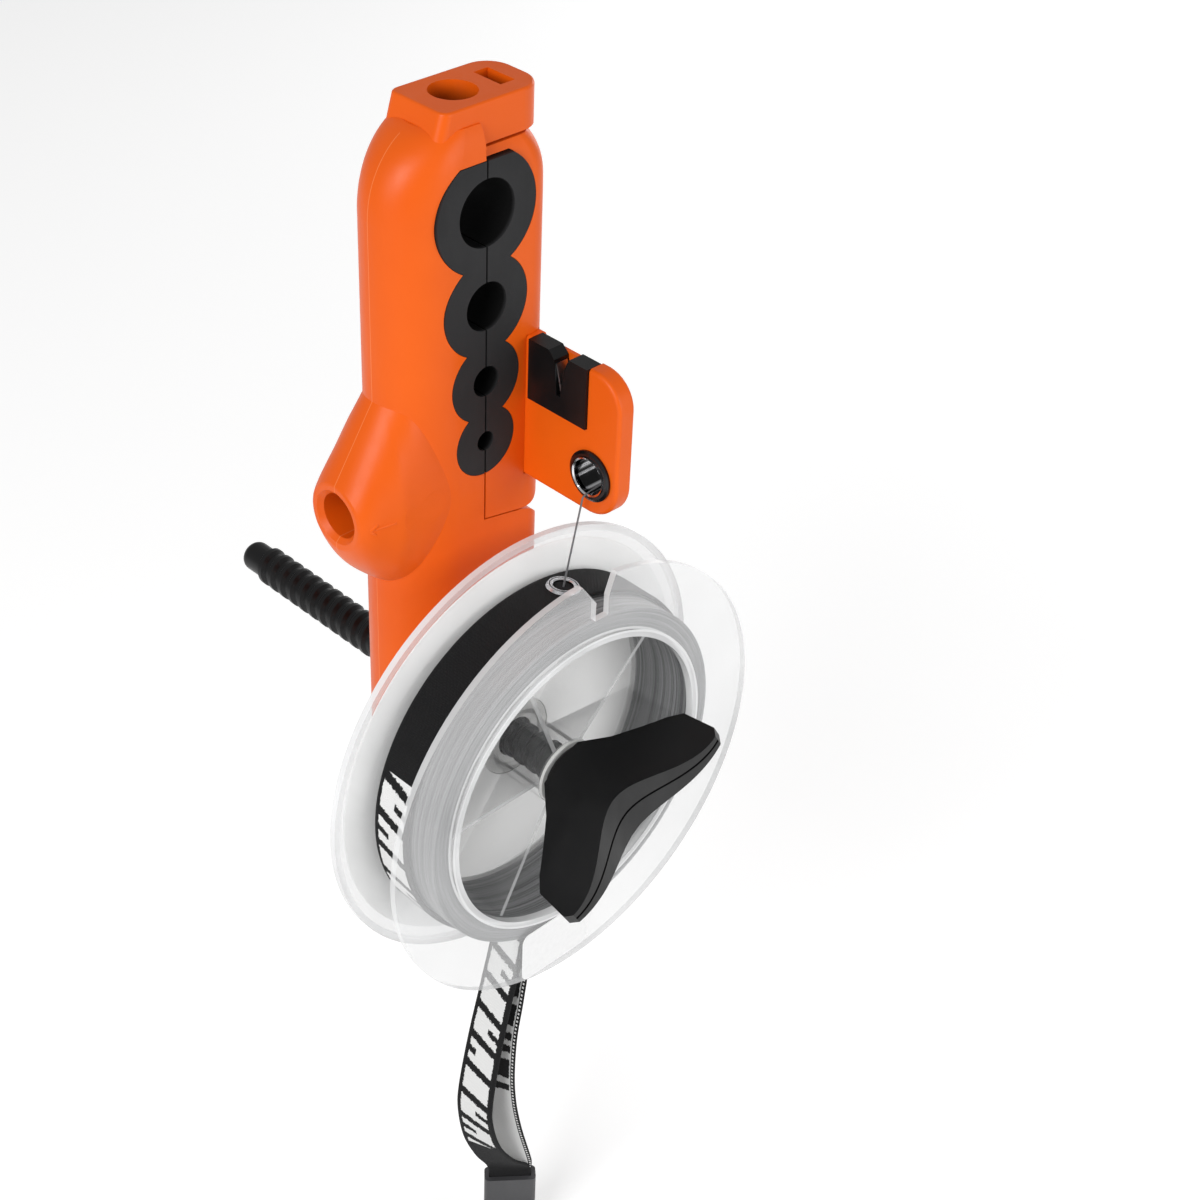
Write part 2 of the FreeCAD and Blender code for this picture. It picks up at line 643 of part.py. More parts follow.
def boss():
    """Bulge on the left side that swells out of the column and ends in the round boss."""
    def oval(x, half_depth, up, down):
        """Section across X: the upper half of one ellipse and the lower half of another."""
        circle = Part.Circle(Vector(), RIGHT, 1)
        halves = []
        for start, rise in ((-math.pi / 2, up), (math.pi / 2, down)):
            arc = Part.ArcOfCircle(circle, start, start + math.pi).toShape()
            stretch = FreeCAD.Matrix()
            stretch.scale(1, half_depth, rise)
            halves.append(arc.transformGeometry(stretch).translated(Vector(x, 0, -d.boss_drop)))
        return Part.Wire(Part.__sortEdges__(halves))

    end = d.boss_end_radius
    sections = []
    for share in (0.0, 0.1, 0.33, 0.56, 0.72, 0.9, 1.0):
        deep = end + (HALF_DEPTH - end) * min(1.0, share / 0.72) ** 0.6
        up = end + (d.boss_flare_up - end) * share
        down = end + (d.boss_flare_down - end) * share ** 0.65
        sections.append(oval(-d.boss_reach + share * d.boss_flare_length, deep, up, down))
    for x in (-(d.column_left + d.left_round) / 3, -d.column_left + d.left_round):
        sections.append(oval(x, HALF_DEPTH, d.boss_flare_up, d.boss_flare_down))
    flare = Part.makeLoft(sections, True, False)
    side = HALF_DEPTH - d.boss_sink
    flare = flare.common(box(-FAR, FAR, -side, side, -FAR, FAR))
    rim = [edge for edge in flare.Edges if edge.BoundBox.XMax < -d.boss_reach + 0.01]
    return flare.makeFillet(d.boss_edge, rim)


def above_foot(left, right, top, gap):
    """Prism over the jaw's sloping lower edge, moved down by gap."""
    def foot(x):
        return -d.jaw_foot - x * math.tan(SLOPE) - gap / math.cos(SLOPE)

    depth = d.column_depth
    corners = [Vector(left, -depth, foot(left)), Vector(right, -depth, foot(right)),
               Vector(right, -depth, top), Vector(left, -depth, top)]
    face = Part.Face(Part.makePolygon(corners + corners[:1]))
    return face.extrude(Vector(0, 2 * depth, 0))


def jaw_zone():
    """Space that the jaw takes out of the body, with its clearance, right through."""
    depth = d.column_depth
    space = above_foot(-d.seam_gap / 2, FAR, d.cap_under, d.jaw_clearance)
    outside = box(PIVOT.x, FAR, -depth, depth, PIVOT.z, d.cap_under)
    outside = outside.cut(through_y(SHOULDER_RADIUS, PIVOT.x, PIVOT.z))
    return space.fuse(outside)


def tongue(half, radius, half_depth):
    """Tongue of the jaw that reaches down into the body and turns on the pin."""
    disc = rod_y(radius, PIVOT.x, PIVOT.z, -half_depth, half_depth)
    neck = box(PIVOT.x - half, PIVOT.x + half, -half_depth, half_depth, PIVOT.z, -d.jaw_foot)
    return disc.fuse(neck)


def tongue_slot():
    """Slot in the body in which the tongue swings; it opens to the right above the pin."""
    swing = math.radians(d.jaw_travel)
    half_depth = d.tongue_depth / 2 + d.tongue_side_gap
    half = d.tongue_half + d.tongue_side_gap
    wall = d.tongue_half / math.cos(swing) + d.tongue_swing_gap
    ledge = PIVOT.z + wall * math.tan(swing)
    disc = rod_y(d.tongue_half + d.tongue_swing_gap, PIVOT.x, PIVOT.z, -half_depth, half_depth)
    inner = box(PIVOT.x - half, PIVOT.x + wall, -half_depth, half_depth, PIVOT.z, ledge)
    mouth = box(PIVOT.x - half, FAR, -half_depth, half_depth, ledge, -d.jaw_foot + d.tongue_swing_gap)
    return disc.fuse([inner, mouth])


def lobes(extra):
    """The four rubber lobes along the seam, grown by extra."""
    rods = [through_y(radius + d.rubber_wall + extra, 0, height) for height, radius in LOBES]
    return rods[0].fuse(rods[1:]).common(box(-FAR, FAR, -FAR, FAR, -FAR, d.rubber_top + extra))


def waist(upper, lower):
    """Height where two neighbouring rubber lobes meet, and their half width there."""
    z1, r1 = LOBES[upper][0], LOBES[upper][1] + d.rubber_wall
    z2, r2 = LOBES[lower][0], LOBES[lower][1] + d.rubber_wall
    height = (z1 + z2) / 2 - (r1 * r1 - r2 * r2) / (2 * (z1 - z2))
    return height, math.sqrt(r1 * r1 - (z1 - height) ** 2)


def waist_screw(upper, side, beyond):
    height, half = waist(upper, upper + 1)
    return side * (half + beyond), height


LOW_LEFT = -d.column_left + d.screw_left_margin
LOW_RIGHT = d.column_right - d.screw_right_margin
SHELL_SCREWS = [
    waist_screw(0, -1, d.body_screw_beyond),
    waist_screw(1, -1, d.body_screw_beyond),
    (LOW_LEFT, -d.boss_drop - d.boss_screw_drop),
    (LOW_RIGHT, PIVOT.z - d.hinge_screw_drop),
    (LOW_LEFT, -d.column_bottom + d.foot_screw_rise),
    (LOW_RIGHT, -d.column_bottom + d.foot_screw_rise),
]
JAW_SCREWS = [waist_screw(upper, 1, d.jaw_screw_beyond) for upper in range(3)]


def screw(x, z, slip=0.0):
    """Pan head screw from the back face, or with slip the hole for it."""
    head_foot = HALF_DEPTH - d.screw_sink
    head_top = head_foot + d.screw_head_height
    tip = head_foot - d.screw_length - slip
    reach = head_top if slip == 0 else HALF_DEPTH + d.screw_sink
    shank = rod_y(d.screw_radius + slip, x, z, tip, head_foot + d.screw_head_height / 2)
    head = rod_y(d.screw_head_radius + slip, x, z, head_foot, reach)
    return shank.fuse(head)


def screw_holes(places):
    holes = [screw(x, z, d.screw_slip) for x, z in places]
    return holes[0].fuse(holes[1:])


def nut_pocket():
    """Hexagonal pocket and bore for the spindle, about the spindle's axis."""
    across = d.nut_across + 2 * d.nut_slip
    half = d.nut_length / 2 + d.nut_slip
    pocket_hex = hexagon_y(across, 0, SPOOL_AXIS.z, -half, half)
    bore = through_y(d.spindle_bore_radius, 0, SPOOL_AXIS.z)
    seat = rod_y(d.spring_seat_radius, 0, SPOOL_AXIS.z, -FAR, -HALF_DEPTH + d.spring_seat_depth)
    return pocket_hex.fuse([bore, seat])


def side_socket():
    """Bore in the boss, with the pocket for its nut behind it."""
    bore = Part.makeCylinder(d.boss_bore_radius, d.boss_bore_length,
                             Vector(-d.boss_reach, 0, -d.boss_drop), RIGHT)
    lip = Part.makeCone(d.boss_bore_radius + d.boss_lip, d.boss_bore_radius, d.boss_lip,
                        Vector(-d.boss_reach, 0, -d.boss_drop), RIGHT)
    half = d.nut_length / 2 + d.nut_slip
    seat = hexagon_y(d.nut_across + 2 * d.nut_slip, 0, 0, -half, half)
    seat.Placement = Placement(Vector(-d.boss_reach + d.side_nut_sink, 0, -d.boss_drop),
                               Rotation(UP, 90))
    return bore.fuse([lip, seat])


def whole_body():
    """Both body shells in one piece, before they are split."""
    solid = column().fuse([upper_body(), cap(), boss()])
    solid = solid.cut(jaw_zone())
    solid = solid.cut(lobes(d.pad_slip))
    low = d.cap_under - d.cap_hole_below
    hole = Part.makeCylinder(d.cap_hole_radius, FAR, Vector(d.cap_hole_offset, 0, low), UP)
    slot = box(d.cap_slot_offset - d.cap_slot_width / 2, d.cap_slot_offset + d.cap_slot_width / 2,
               -d.cap_slot_depth / 2, d.cap_slot_depth / 2, low, FAR)
    pin_half = d.hinge_pin_length / 2
    pin_bore = rod_y(d.hinge_pin_radius, PIVOT.x, PIVOT.z, -pin_half, pin_half)
    for tool in (hole, slot, tongue_slot(), pin_bore, side_socket(), nut_pocket(),
                 screw_holes(SHELL_SCREWS)):
        solid = solid.cut(tool)
    return solid


def upper_jaw():
    """Upper end of the jaw, which rounds back under the cap."""
    top = d.cap_under - d.jaw_top_gap
    sections = []
    for share in (0.0, 0.4, 0.7, 0.88, 1.0):
        height = d.shoulder_start + share * (top - d.shoulder_start)
        shrink = (HALF_DEPTH - d.cap_depth / 2) * share ** 3
        sections.append(column_section(d.column_left, d.column_right - shrink, HALF_DEPTH - shrink,
                                       d.left_round, d.right_round, height))
    return Part.makeLoft(sections, True, False)


def jaw_outline():
    """Front outline of the jaw as a prism: straight seam, sloping foot, one rounded corner."""
    prism = above_foot(d.seam_gap / 2, d.column_right, FAR, 0)
    corner = [edge for edge in prism.Edges
              if edge.BoundBox.XMin > d.column_right - 0.01 and edge.BoundBox.ZMax < 0]
    return prism.makeFillet(d.jaw_corner, corner)


def whole_jaw():
    """Both jaw shells in one piece, before they are split."""
    solid = column().fuse(upper_jaw()).common(jaw_outline())
    solid = solid.fuse(tongue(d.tongue_half, d.tongue_half, d.tongue_depth / 2))
    pin_bore = through_y(d.hinge_pin_radius + d.hinge_pin_slip, PIVOT.x, PIVOT.z)
    room = rod_y(d.spring_room_radius, PIVOT.x, PIVOT.z,
                 -d.spring_room_depth / 2, d.spring_room_depth / 2)
    tenon = box(d.arm_left - d.arm_slip, d.arm_left + d.arm_thick + d.arm_slip, -FAR,
                -HALF_DEPTH + d.arm_root + d.arm_slip, -d.arm_drop - d.arm_slip,
                d.arm_top + d.arm_slip)
    for tool in (lobes(d.pad_slip), pin_bore, room, tenon, screw_holes(JAW_SCREWS)):
        solid = solid.cut(tool)
    return solid


def halves(label_front, label_back, solid):
    """Splits a moulding at mid depth into its front and rear shells."""
    front = solid.common(box(-FAR, FAR, -FAR, 0, -FAR, FAR))
    back = solid.common(box(-FAR, FAR, 0, FAR, -FAR, FAR))
    part_feature(label_front, front.removeSplitter())
    part_feature(label_back, back.removeSplitter())


halves("front_shell", "rear_shell", whole_body())
halves("jaw_front_shell", "jaw_rear_shell", whole_jaw())
part_feature("shell_screws", Part.makeCompound([screw(x, z) for x, z in SHELL_SCREWS]))
part_feature("jaw_screws", Part.makeCompound([screw(x, z) for x, z in JAW_SCREWS]))


# ---------------------------------------------------------------- rubber pads, Part primitives
def bound_cylinder(name, radius, height):
    """Cylinder along Y through the whole depth, at a height on the seam."""
    rod = doc.addObject("Part::Cylinder", name)
    rod.setExpression("Radius", radius)
    rod.setExpression("Height", "dims.column_depth")
    rod.Placement = Placement(Vector(0, -HALF_DEPTH, 0), Rotation(RIGHT, -90))
    rod.setExpression("Placement.Base.y", "-dims.column_depth / 2")
    rod.setExpression("Placement.Base.z", height)
    return rod


def rubber_pad(label, side):
    """One half of the four-lobed rubber lining; side is -1 on the body, 1 on the jaw."""
    bores = [
        ("butt", "dims.bore_butt_radius", "dims.bore_butt_height"),
        ("upper", "dims.bore_upper_radius", "dims.bore_upper_height"),
        ("rod", "dims.bore_rod_radius", "0"),
        ("tip", "dims.bore_tip_radius", "-dims.bore_tip_drop"),
    ]
    outer = [bound_cylinder(f"{label}_{name}_lobe", radius + " + dims.rubber_wall", height)
             for name, radius, height in bores]
    inner = [bound_cylinder(f"{label}_{name}_bore", radius, height) for name, radius, height in bores]
    lobe_set = doc.addObject("Part::MultiFuse", label + "_lobes")
    lobe_set.Shapes = outer
    bore_set = doc.addObject("Part::MultiFuse", label + "_bores")
    bore_set.Shapes = inner
    lining = doc.addObject("Part::Cut", label + "_lining")
    lining.Base = lobe_set
    lining.Tool = bore_set
    room = doc.addObject("Part::Box", label + "_side")
    room.setExpression("Length", "dims.column_left")
    room.setExpression("Width", "dims.column_depth * 2")
    room.setExpression("Height", "dims.column_bottom + dims.rubber_top")
    edge = "dims.seam_gap / 2" if side > 0 else "-dims.seam_gap / 2 - dims.column_left"
    room.setExpression("Placement.Base.x", edge)
    room.setExpression("Placement.Base.y", "-dims.column_depth")
    room.setExpression("Placement.Base.z", "-dims.column_bottom")
    half = doc.addObject("Part::Common", label)
    half.Base = lining
    half.Tool = room
    half.Label = label
    return half


rubber_pad("left_rubber_pad", -1)
rubber_pad("right_rubber_pad", 1)


# ---------------------------------------------------------------- hinge pin and jaw spring
hinge_pin = doc.addObject("Part::Cylinder", "hinge_pin")
hinge_pin.Label = "hinge_pin"
hinge_pin.Placement = Placement(PIVOT, Rotation(RIGHT, -90))
hinge_pin.setExpression("Radius", "dims.hinge_pin_radius")
hinge_pin.setExpression("Height", "dims.hinge_pin_length")
hinge_pin.setExpression("Placement.Base.x", "dims.pivot_offset")
hinge_pin.setExpression("Placement.Base.y", "-dims.hinge_pin_length / 2")

jaw_spring_room = d.spring_room_depth - 2 * d.jaw_spring_wire
part_feature("jaw_spring",
             coil_y(d.jaw_spring_wire / 2, d.jaw_spring_radius, jaw_spring_room / d.jaw_spring_turns,
                    d.jaw_spring_turns, -jaw_spring_room / 2),
             PIVOT)


# ---------------------------------------------------------------- spindle and its nuts
THREAD_START = -d.hub_front + d.thread_pitch / 2


def spindle():
    """Screw with a coarse thread, a domed back end and a hexagon head in the knob."""
    head_back = -HUB_FACE - d.knob_head_depth
    front = head_back - d.spindle_head_length
    dome = d.spindle_core * 0.6
    core = rod_y(d.spindle_core, 0, 0, front, d.spindle_back)
    end = [edge for edge in core.Edges if edge.BoundBox.YMin > d.spindle_back - 0.01]
    core = core.makeFillet(dome, end)
    turns = math.floor((d.spindle_back - dome - THREAD_START) / d.thread_pitch - 0.6)
    thread = ridge(d.spindle_core, d.spindle_major, d.thread_root_width, d.thread_crest_width,
                   d.thread_pitch, THREAD_START, turns)
    head = hexagon_y(d.spindle_head_across, 0, 0, front, head_back)
    head.rotate(Vector(), BACK, -d.knob_turn)
    return core.fuse(thread).fuse(head)


def threaded_nut(advance):
    """Hexagon nut about Y, middle on y = 0.

    Its thread is in step with a ridge that starts at THREAD_START once the nut has been moved
    back along the ridge by advance.
    """
    half = d.nut_length / 2
    slip = d.thread_slip
    pitch = d.thread_pitch
    blank = hexagon_y(d.nut_across, 0, 0, -half, half)
    bore = through_y(d.spindle_core + slip, 0, 0)
    start = THREAD_START - advance
    first = start - pitch * math.ceil((start + half + 2 * pitch) / pitch)
    turns = math.ceil((d.nut_length + 4 * pitch) / pitch)
    groove = ridge(d.spindle_core + slip, d.spindle_major + slip, d.thread_root_width + 2 * slip,
                   d.thread_crest_width + 2 * slip, pitch, first, turns)
    return blank.cut(bore).cut(groove)


part_feature("threaded_spindle", spindle(), SPOOL_AXIS)
part_feature("spindle_nut", threaded_nut(0.0), SPOOL_AXIS)
part_feature("side_spindle_nut", threaded_nut(0.0),
             Vector(-d.boss_reach + d.side_nut_sink, 0, -d.boss_drop), Rotation(UP, 90))


# ---------------------------------------------------------------- wing knob in two halves
def knob():
    """Butterfly knob about the spindle's axis; its long axis lies along X, its back on y = 0."""
    half = d.knob_span / 2
    belly = -(d.knob_dip + d.knob_depth) / 2 - d.knob_belly
    front = Part.BSplineCurve()
    front.interpolate([
        Vector(-half + d.knob_tip_inset, -d.knob_depth, 0),
        Vector(-d.knob_belly_reach, belly, 0),
        Vector(0, -d.knob_dip, 0),
        Vector(d.knob_belly_reach, belly, 0),
        Vector(half - d.knob_tip_inset, -d.knob_depth, 0),
    ])
    spots = {
        "tip": Vector(half, -d.knob_depth + d.knob_tip_round, 0),
        "heel": Vector(half - d.knob_heel_inset, -d.knob_tip_back - d.knob_heel_rise, 0),
        "shoulder": Vector(half - d.knob_shoulder_inset, -d.knob_tip_back, 0),
        "root": Vector(d.knob_root_reach, -d.knob_root, 0),
        "hub": Vector(d.knob_hub_radius * 3 / 4, -d.knob_hub_round, 0),
    }

    def mirrored(point):
        return Vector(-point.x, point.y, 0)

    right = [
        Part.LineSegment(Vector(half - d.knob_tip_inset, -d.knob_depth, 0), spots["tip"]),
        Part.LineSegment(spots["tip"], spots["heel"]),
        Part.LineSegment(spots["heel"], spots["shoulder"]),
        Part.LineSegment(spots["shoulder"], spots["root"]),
        Part.LineSegment(spots["root"], spots["hub"]),
    ]
    left = [Part.LineSegment(mirrored(line.EndPoint), mirrored(line.StartPoint))
            for line in reversed(right)]
    bridge = Part.LineSegment(spots["hub"], mirrored(spots["hub"]))
    edges = [front.toShape()] + [line.toShape() for line in right + [bridge] + left]
    outline = Part.Face(Part.Wire(Part.__sortEdges__(edges)))
    profile = outline.extrude(Vector(0, 0, 2 * FAR)).translated(Vector(0, 0, -FAR))

    def flank(sign):
        curve = Part.BSplineCurve()
        curve.interpolate([
            Vector(-half, 0, sign * d.knob_tip),
            Vector(-half / 2, 0, sign * d.knob_waist),
            Vector(0, 0, sign * d.knob_middle),
            Vector(half / 2, 0, sign * d.knob_waist),
            Vector(half, 0, sign * d.knob_tip),
        ])
        return curve

    ends = [
        Part.LineSegment(Vector(half, 0, -d.knob_tip), Vector(half, 0, d.knob_tip)).toShape(),
        Part.LineSegment(Vector(-half, 0, -d.knob_tip), Vector(-half, 0, d.knob_tip)).toShape(),
    ]
    lens_edges = [flank(1).toShape(), flank(-1).toShape()] + ends
    lens = Part.Face(Part.Wire(Part.__sortEdges__(lens_edges)))
    plan = lens.extrude(Vector(0, 2 * FAR, 0)).translated(Vector(0, -FAR, 0))
    wings = profile.common(plan)
    hub = rod_y(d.knob_hub_radius, 0, 0, -d.knob_head_depth, 0)
    rim = [edge for edge in hub.Edges if edge.BoundBox.YMin > -0.01]
    hub = hub.makeFillet(d.knob_hub_round, rim)
    solid = wings.fuse(hub)
    band = Part.Face(Part.Wire(Part.__sortEdges__([
        front.toShape(),
        front.toShape().translated(Vector(0, d.knob_groove, 0)),
        Part.LineSegment(front.StartPoint, front.StartPoint + Vector(0, d.knob_groove, 0)).toShape(),
        Part.LineSegment(front.EndPoint, front.EndPoint + Vector(0, d.knob_groove, 0)).toShape(),
    ])))
    groove = band.extrude(Vector(0, 0, d.knob_groove)).translated(Vector(0, 0, -d.knob_groove / 2))
    head_back = -d.knob_head_depth + d.spindle_head_slip
    head_front = -d.knob_head_depth - d.spindle_head_length - d.spindle_head_slip
    pocket_hex = hexagon_y(d.spindle_head_across + 2 * d.spindle_head_slip, 0, 0, head_front, head_back)
    shank = rod_y(d.spindle_core + d.spindle_head_slip, 0, 0, -d.knob_head_depth, 1)
    return solid.cut(groove).cut(pocket_hex).cut(shank)


knob_base = Vector(0, -HUB_FACE, -d.spindle_drop)
knob_rotation = Rotation(BACK, -d.knob_turn)
knob_solid = knob()
part_feature("knob_upper_half", knob_solid.common(box(-FAR, FAR, -FAR, FAR, 0, FAR)),
             knob_base, knob_rotation)
part_feature("knob_lower_half", knob_solid.common(box(-FAR, FAR, -FAR, FAR, -FAR, 0)),
             knob_base, knob_rotation)


# ---------------------------------------------------------------- washers, plate and spring
thrust_front = "(dims.hub_front + dims.stack_gap + dims.thrust_thick)"
friction_front = "(dims.flange_back - dims.stack_gap)"
plate_front = "(dims.flange_back - 2 * dims.stack_gap - dims.friction_thick)"
ring_body("thrust_washer", "dims.thrust_radius", "dims.stack_bore", thrust_front,
          "dims.thrust_thick")
ring_body("friction_washer", "dims.friction_radius", "dims.stack_bore", friction_front,
          "dims.friction_thick")

pressure_plate = new_body("pressure_plate")
plate_sketch = sketch_on(pressure_plate, "YZ_Plane", "plate_profile")
plate_back = "(-" + plate_front + " + dims.plate_thick)"
collar_back = "(-" + plate_front + " + dims.plate_thick + dims.plate_collar_length)"
polygon(plate_sketch, "plate", [
    ("-" + plate_front, "dims.stack_bore"),
    ("-" + plate_front, "dims.plate_radius"),
    (plate_back, "dims.plate_radius"),
    (plate_back, "dims.plate_collar_radius"),
    (collar_back, "dims.plate_collar_radius"),
    (collar_back, "dims.stack_bore"),
])
revolve(pressure_plate, plate_sketch, "plate_turn", "H_Axis")
pressure_plate.Placement = Placement(SPOOL_AXIS, Rotation())
pressure_plate.setExpression("Placement.Base.z", "-dims.spindle_drop")

spring_front = -size(plate_front) + d.plate_thick + d.stack_gap / 2 + d.spring_wire / 2
spring_back = -HALF_DEPTH + d.spring_seat_depth - d.stack_gap / 2 - d.spring_wire / 2
part_feature("tension_spring",
             coil_y(d.spring_wire / 2, d.spring_radius, (spring_back - spring_front) / d.spring_turns,
                    d.spring_turns, spring_front),
             SPOOL_AXIS)


# ---------------------------------------------------------------- spool
def spool_drum():
    """Front flange, drum wall, hub tube and webs in one clear moulding."""
    body = new_body("spool_drum")
    profile = sketch_on(body, "YZ_Plane", "drum_profile")
    inside = "(-dims.flange_back - dims.flange_wall)"
    polygon(profile, "drum", [
        ("-dims.flange_front", "dims.drum_inner"),
        ("-dims.flange_front", "dims.flange_radius"),
        ("-dims.flange_front + dims.flange_wall", "dims.flange_radius"),
        ("-dims.flange_front + dims.flange_wall", "dims.drum_inner + dims.drum_wall"),
        (inside, "dims.drum_inner + dims.drum_wall"),
        (inside, "dims.drum_inner"),
    ])
    revolve(body, profile, "drum_turn", "H_Axis")
    web = sketch_on(body, "XZ_Plane", "web_outline", "dims.flange_back + dims.flange_wall")
    web.setExpression("AttachmentOffset.Rotation.Angle", "dims.web_turn * 1deg")
    reach = "(dims.hub_outer + dims.hub_inner) / 2"
    polygon(web, "web", [
        (reach, "-dims.web_wall / 2"),
        ("dims.drum_inner + dims.drum_wall / 2", "-dims.web_wall / 2"),
        ("dims.drum_inner + dims.drum_wall / 2", "dims.web_wall / 2"),
        (reach, "dims.web_wall / 2"),
    ])
    first = pad(body, web, "web_pad", "dims.web_front - dims.flange_back - dims.flange_wall")
    pattern = body.newObject("PartDesign::PolarPattern", "web_pattern")
    pattern.Originals = [first]
    pattern.Axis = (web, ["N_Axis"])
    pattern.Angle = 360
    pattern.setExpression("Occurrences", "dims.web_count")
    body.Tip = pattern
    doc.recompute()
    hub = sketch_on(body, "XZ_Plane", "hub_outline", "dims.flange_back + dims.flange_wall")
    circle(hub, "outer", "dims.hub_outer")
    circle(hub, "inner", "dims.hub_inner")
    pad(body, hub, "hub_pad", "dims.hub_front - dims.flange_back - dims.flange_wall")
    slope = sketch_on(body, "YZ_Plane", "web_slope")
    clear = "(dims.thrust_radius + dims.washer_room)"
    beyond = "(-dims.web_front - 1)"
    polygon(slope, "slope", [
        (beyond, "dims.hub_inner - 0.2"),
        ("-dims.hub_front", "dims.hub_inner - 0.2"),
        ("-dims.hub_front", clear),
        ("-dims.web_front", "dims.drum_inner"),
        (beyond, "dims.drum_inner"),
    ])
    groove(body, slope, "web_slope_cut", "H_Axis")
    notch = sketch_on(body, "XZ_Plane", "notch_outline", "dims.flange_front")
    foot = "(dims.flange_radius - dims.notch_length)"
    flare = "(dims.flange_radius - dims.notch_flare)"
    far_side = "(dims.notch_offset + dims.notch_width)"
    polygon(notch, "notch", [
        ("dims.notch_offset", foot),
        (far_side, foot),
        (far_side, flare),
        (far_side + " + dims.notch_flare_right", "dims.flange_radius + 1"),
        ("dims.notch_offset - dims.notch_flare_left", "dims.flange_radius + 1"),
        ("dims.notch_offset", flare),
    ])
    pocket(body, notch, "line_notch", "dims.flange_wall + 0.5", reverse=False)
    body.Placement = Placement(SPOOL_AXIS, Rotation())
    body.setExpression("Placement.Base.z", "-dims.spindle_drop")
    return body


spool_drum()
ring_body("spool_rear_flange", "dims.flange_radius", "dims.hub_inner",
          "(dims.flange_back + dims.flange_wall)", "dims.flange_wall")
ring_body("line_winding", "dims.winding_radius", "dims.drum_inner + dims.drum_wall + dims.winding_slip",
          "(dims.flange_front - dims.flange_wall - dims.winding_slip)",
          "dims.flange_front - dims.flange_back - 2 * dims.flange_wall - 2 * dims.winding_slip")
ring_body("spool_label", "dims.label_radius", "dims.label_hole", "dims.flange_back", "dims.paper")

flange_sticker = new_body("flange_sticker")
sticker_sketch = sketch_on(flange_sticker, "XZ_Plane", "sticker_outline",
                           "dims.flange_front + dims.paper")
sticker_left = "(dims.sticker_offset - dims.sticker_width / 2)"
sticker_right = "(dims.sticker_offset + dims.sticker_width / 2)"
sticker_low = "(dims.sticker_inset - dims.flange_radius - dims.sticker_height / 2)"
sticker_high = "(dims.sticker_inset - dims.flange_radius + dims.sticker_height / 2)"
polygon(sticker_sketch, "sticker", [
    (sticker_left, sticker_low),
    (sticker_right, sticker_low),
    (sticker_right, sticker_high),
    (sticker_left, sticker_high),
])
sticker_pad = pad(flange_sticker, sticker_sketch, "sticker_pad", "dims.paper", reverse=True)
fillet(flange_sticker, sticker_pad, "sticker_corners", "dims.sticker_corner",
       lambda edge: edge.BoundBox.YLength > 0.01)
flange_sticker.Placement = Placement(SPOOL_AXIS, Rotation())
flange_sticker.setExpression("Placement.Base.z", "-dims.spindle_drop")


# ---------------------------------------------------------------- guide arm, cutter and ring
RING_ALONG = "-dims.arm_reach + dims.ring_inset"
RING_HEIGHT = "-dims.arm_drop + dims.ring_rise"


def guide_arm():
    """Flat arm that stands forward from the jaw, with a tenon inside it."""
    body = new_body("guide_arm")
    outline = sketch_on(body, "YZ_Plane", "arm_outline", "dims.arm_left")
    root = "-dims.column_depth / 2 + dims.arm_root"
    polygon(outline, "arm", [
        (root, "-dims.arm_drop"),
        (root, "dims.arm_top"),
        ("-dims.arm_reach", "dims.arm_top"),
        ("-dims.arm_reach", "-dims.arm_drop"),
    ])
    blank = pad(body, outline, "arm_pad", "dims.arm_thick")

    def front_corner(edge, top):
        spot = edge.CenterOfMass
        across = edge.BoundBox.XLength > d.arm_thick - 0.1
        return across and spot.y < -d.arm_reach + 0.1 and (spot.z > 0) == top

    blank = fillet(body, blank, "arm_upper_corner", "dims.arm_upper_round",
                   lambda edge: front_corner(edge, True))
    blank = fillet(body, blank, "arm_lower_corner", "dims.arm_lower_round",
                   lambda edge: front_corner(edge, False))
    blank = fillet(body, blank, "arm_edges", "dims.arm_edge_round",
                   lambda edge: edge.BoundBox.XLength < 0.01 and edge.BoundBox.YMin < -HALF_DEPTH - 0.1)
    seat = sketch_on(body, "YZ_Plane", "cutter_seat", "dims.arm_left")
    back = "-dims.column_depth / 2 - dims.arm_land + dims.cutter_slip"
    front = "-dims.column_depth / 2 - dims.arm_land - dims.cutter_length - dims.cutter_slip"
    low = "-dims.cutter_drop - dims.cutter_slip"
    polygon(seat, "seat", [(front, low), (back, low), (back, "dims.arm_top + 5"),
                           (front, "dims.arm_top + 5")])
    pocket(body, seat, "cutter_pocket", "dims.cutter_wide - dims.cutter_proud + dims.cutter_slip",
           reverse=True)
    wall = sketch_on(body, "YZ_Plane", "cutter_wall", "dims.arm_left")
    wall_top = "dims.arm_top - dims.cutter_wall_drop"
    polygon(wall, "wall", [(front, wall_top), (back, wall_top), (back, "dims.arm_top + 5"),
                           (front, "dims.arm_top + 5")])
    pocket(body, wall, "cutter_wall_cut", "dims.arm_thick + 1", reverse=True)
    eye = sketch_on(body, "YZ_Plane", "ring_hole", "dims.arm_left")
    circle(eye, "ring", "dims.ring_neck + dims.ring_slip", RING_ALONG, RING_HEIGHT)
    pocket(body, eye, "ring_hole_cut", "dims.arm_thick + 1", reverse=True)
    return body


BLADE_PLACE = Placement(
    Vector(d.arm_left - d.cutter_proud + d.cutter_wide / 2,
           -HALF_DEPTH - d.arm_land - d.slot_middle,
           d.cutter_top - d.slot_depth + d.blade_lift),
    Rotation(RIGHT, d.blade_lean))


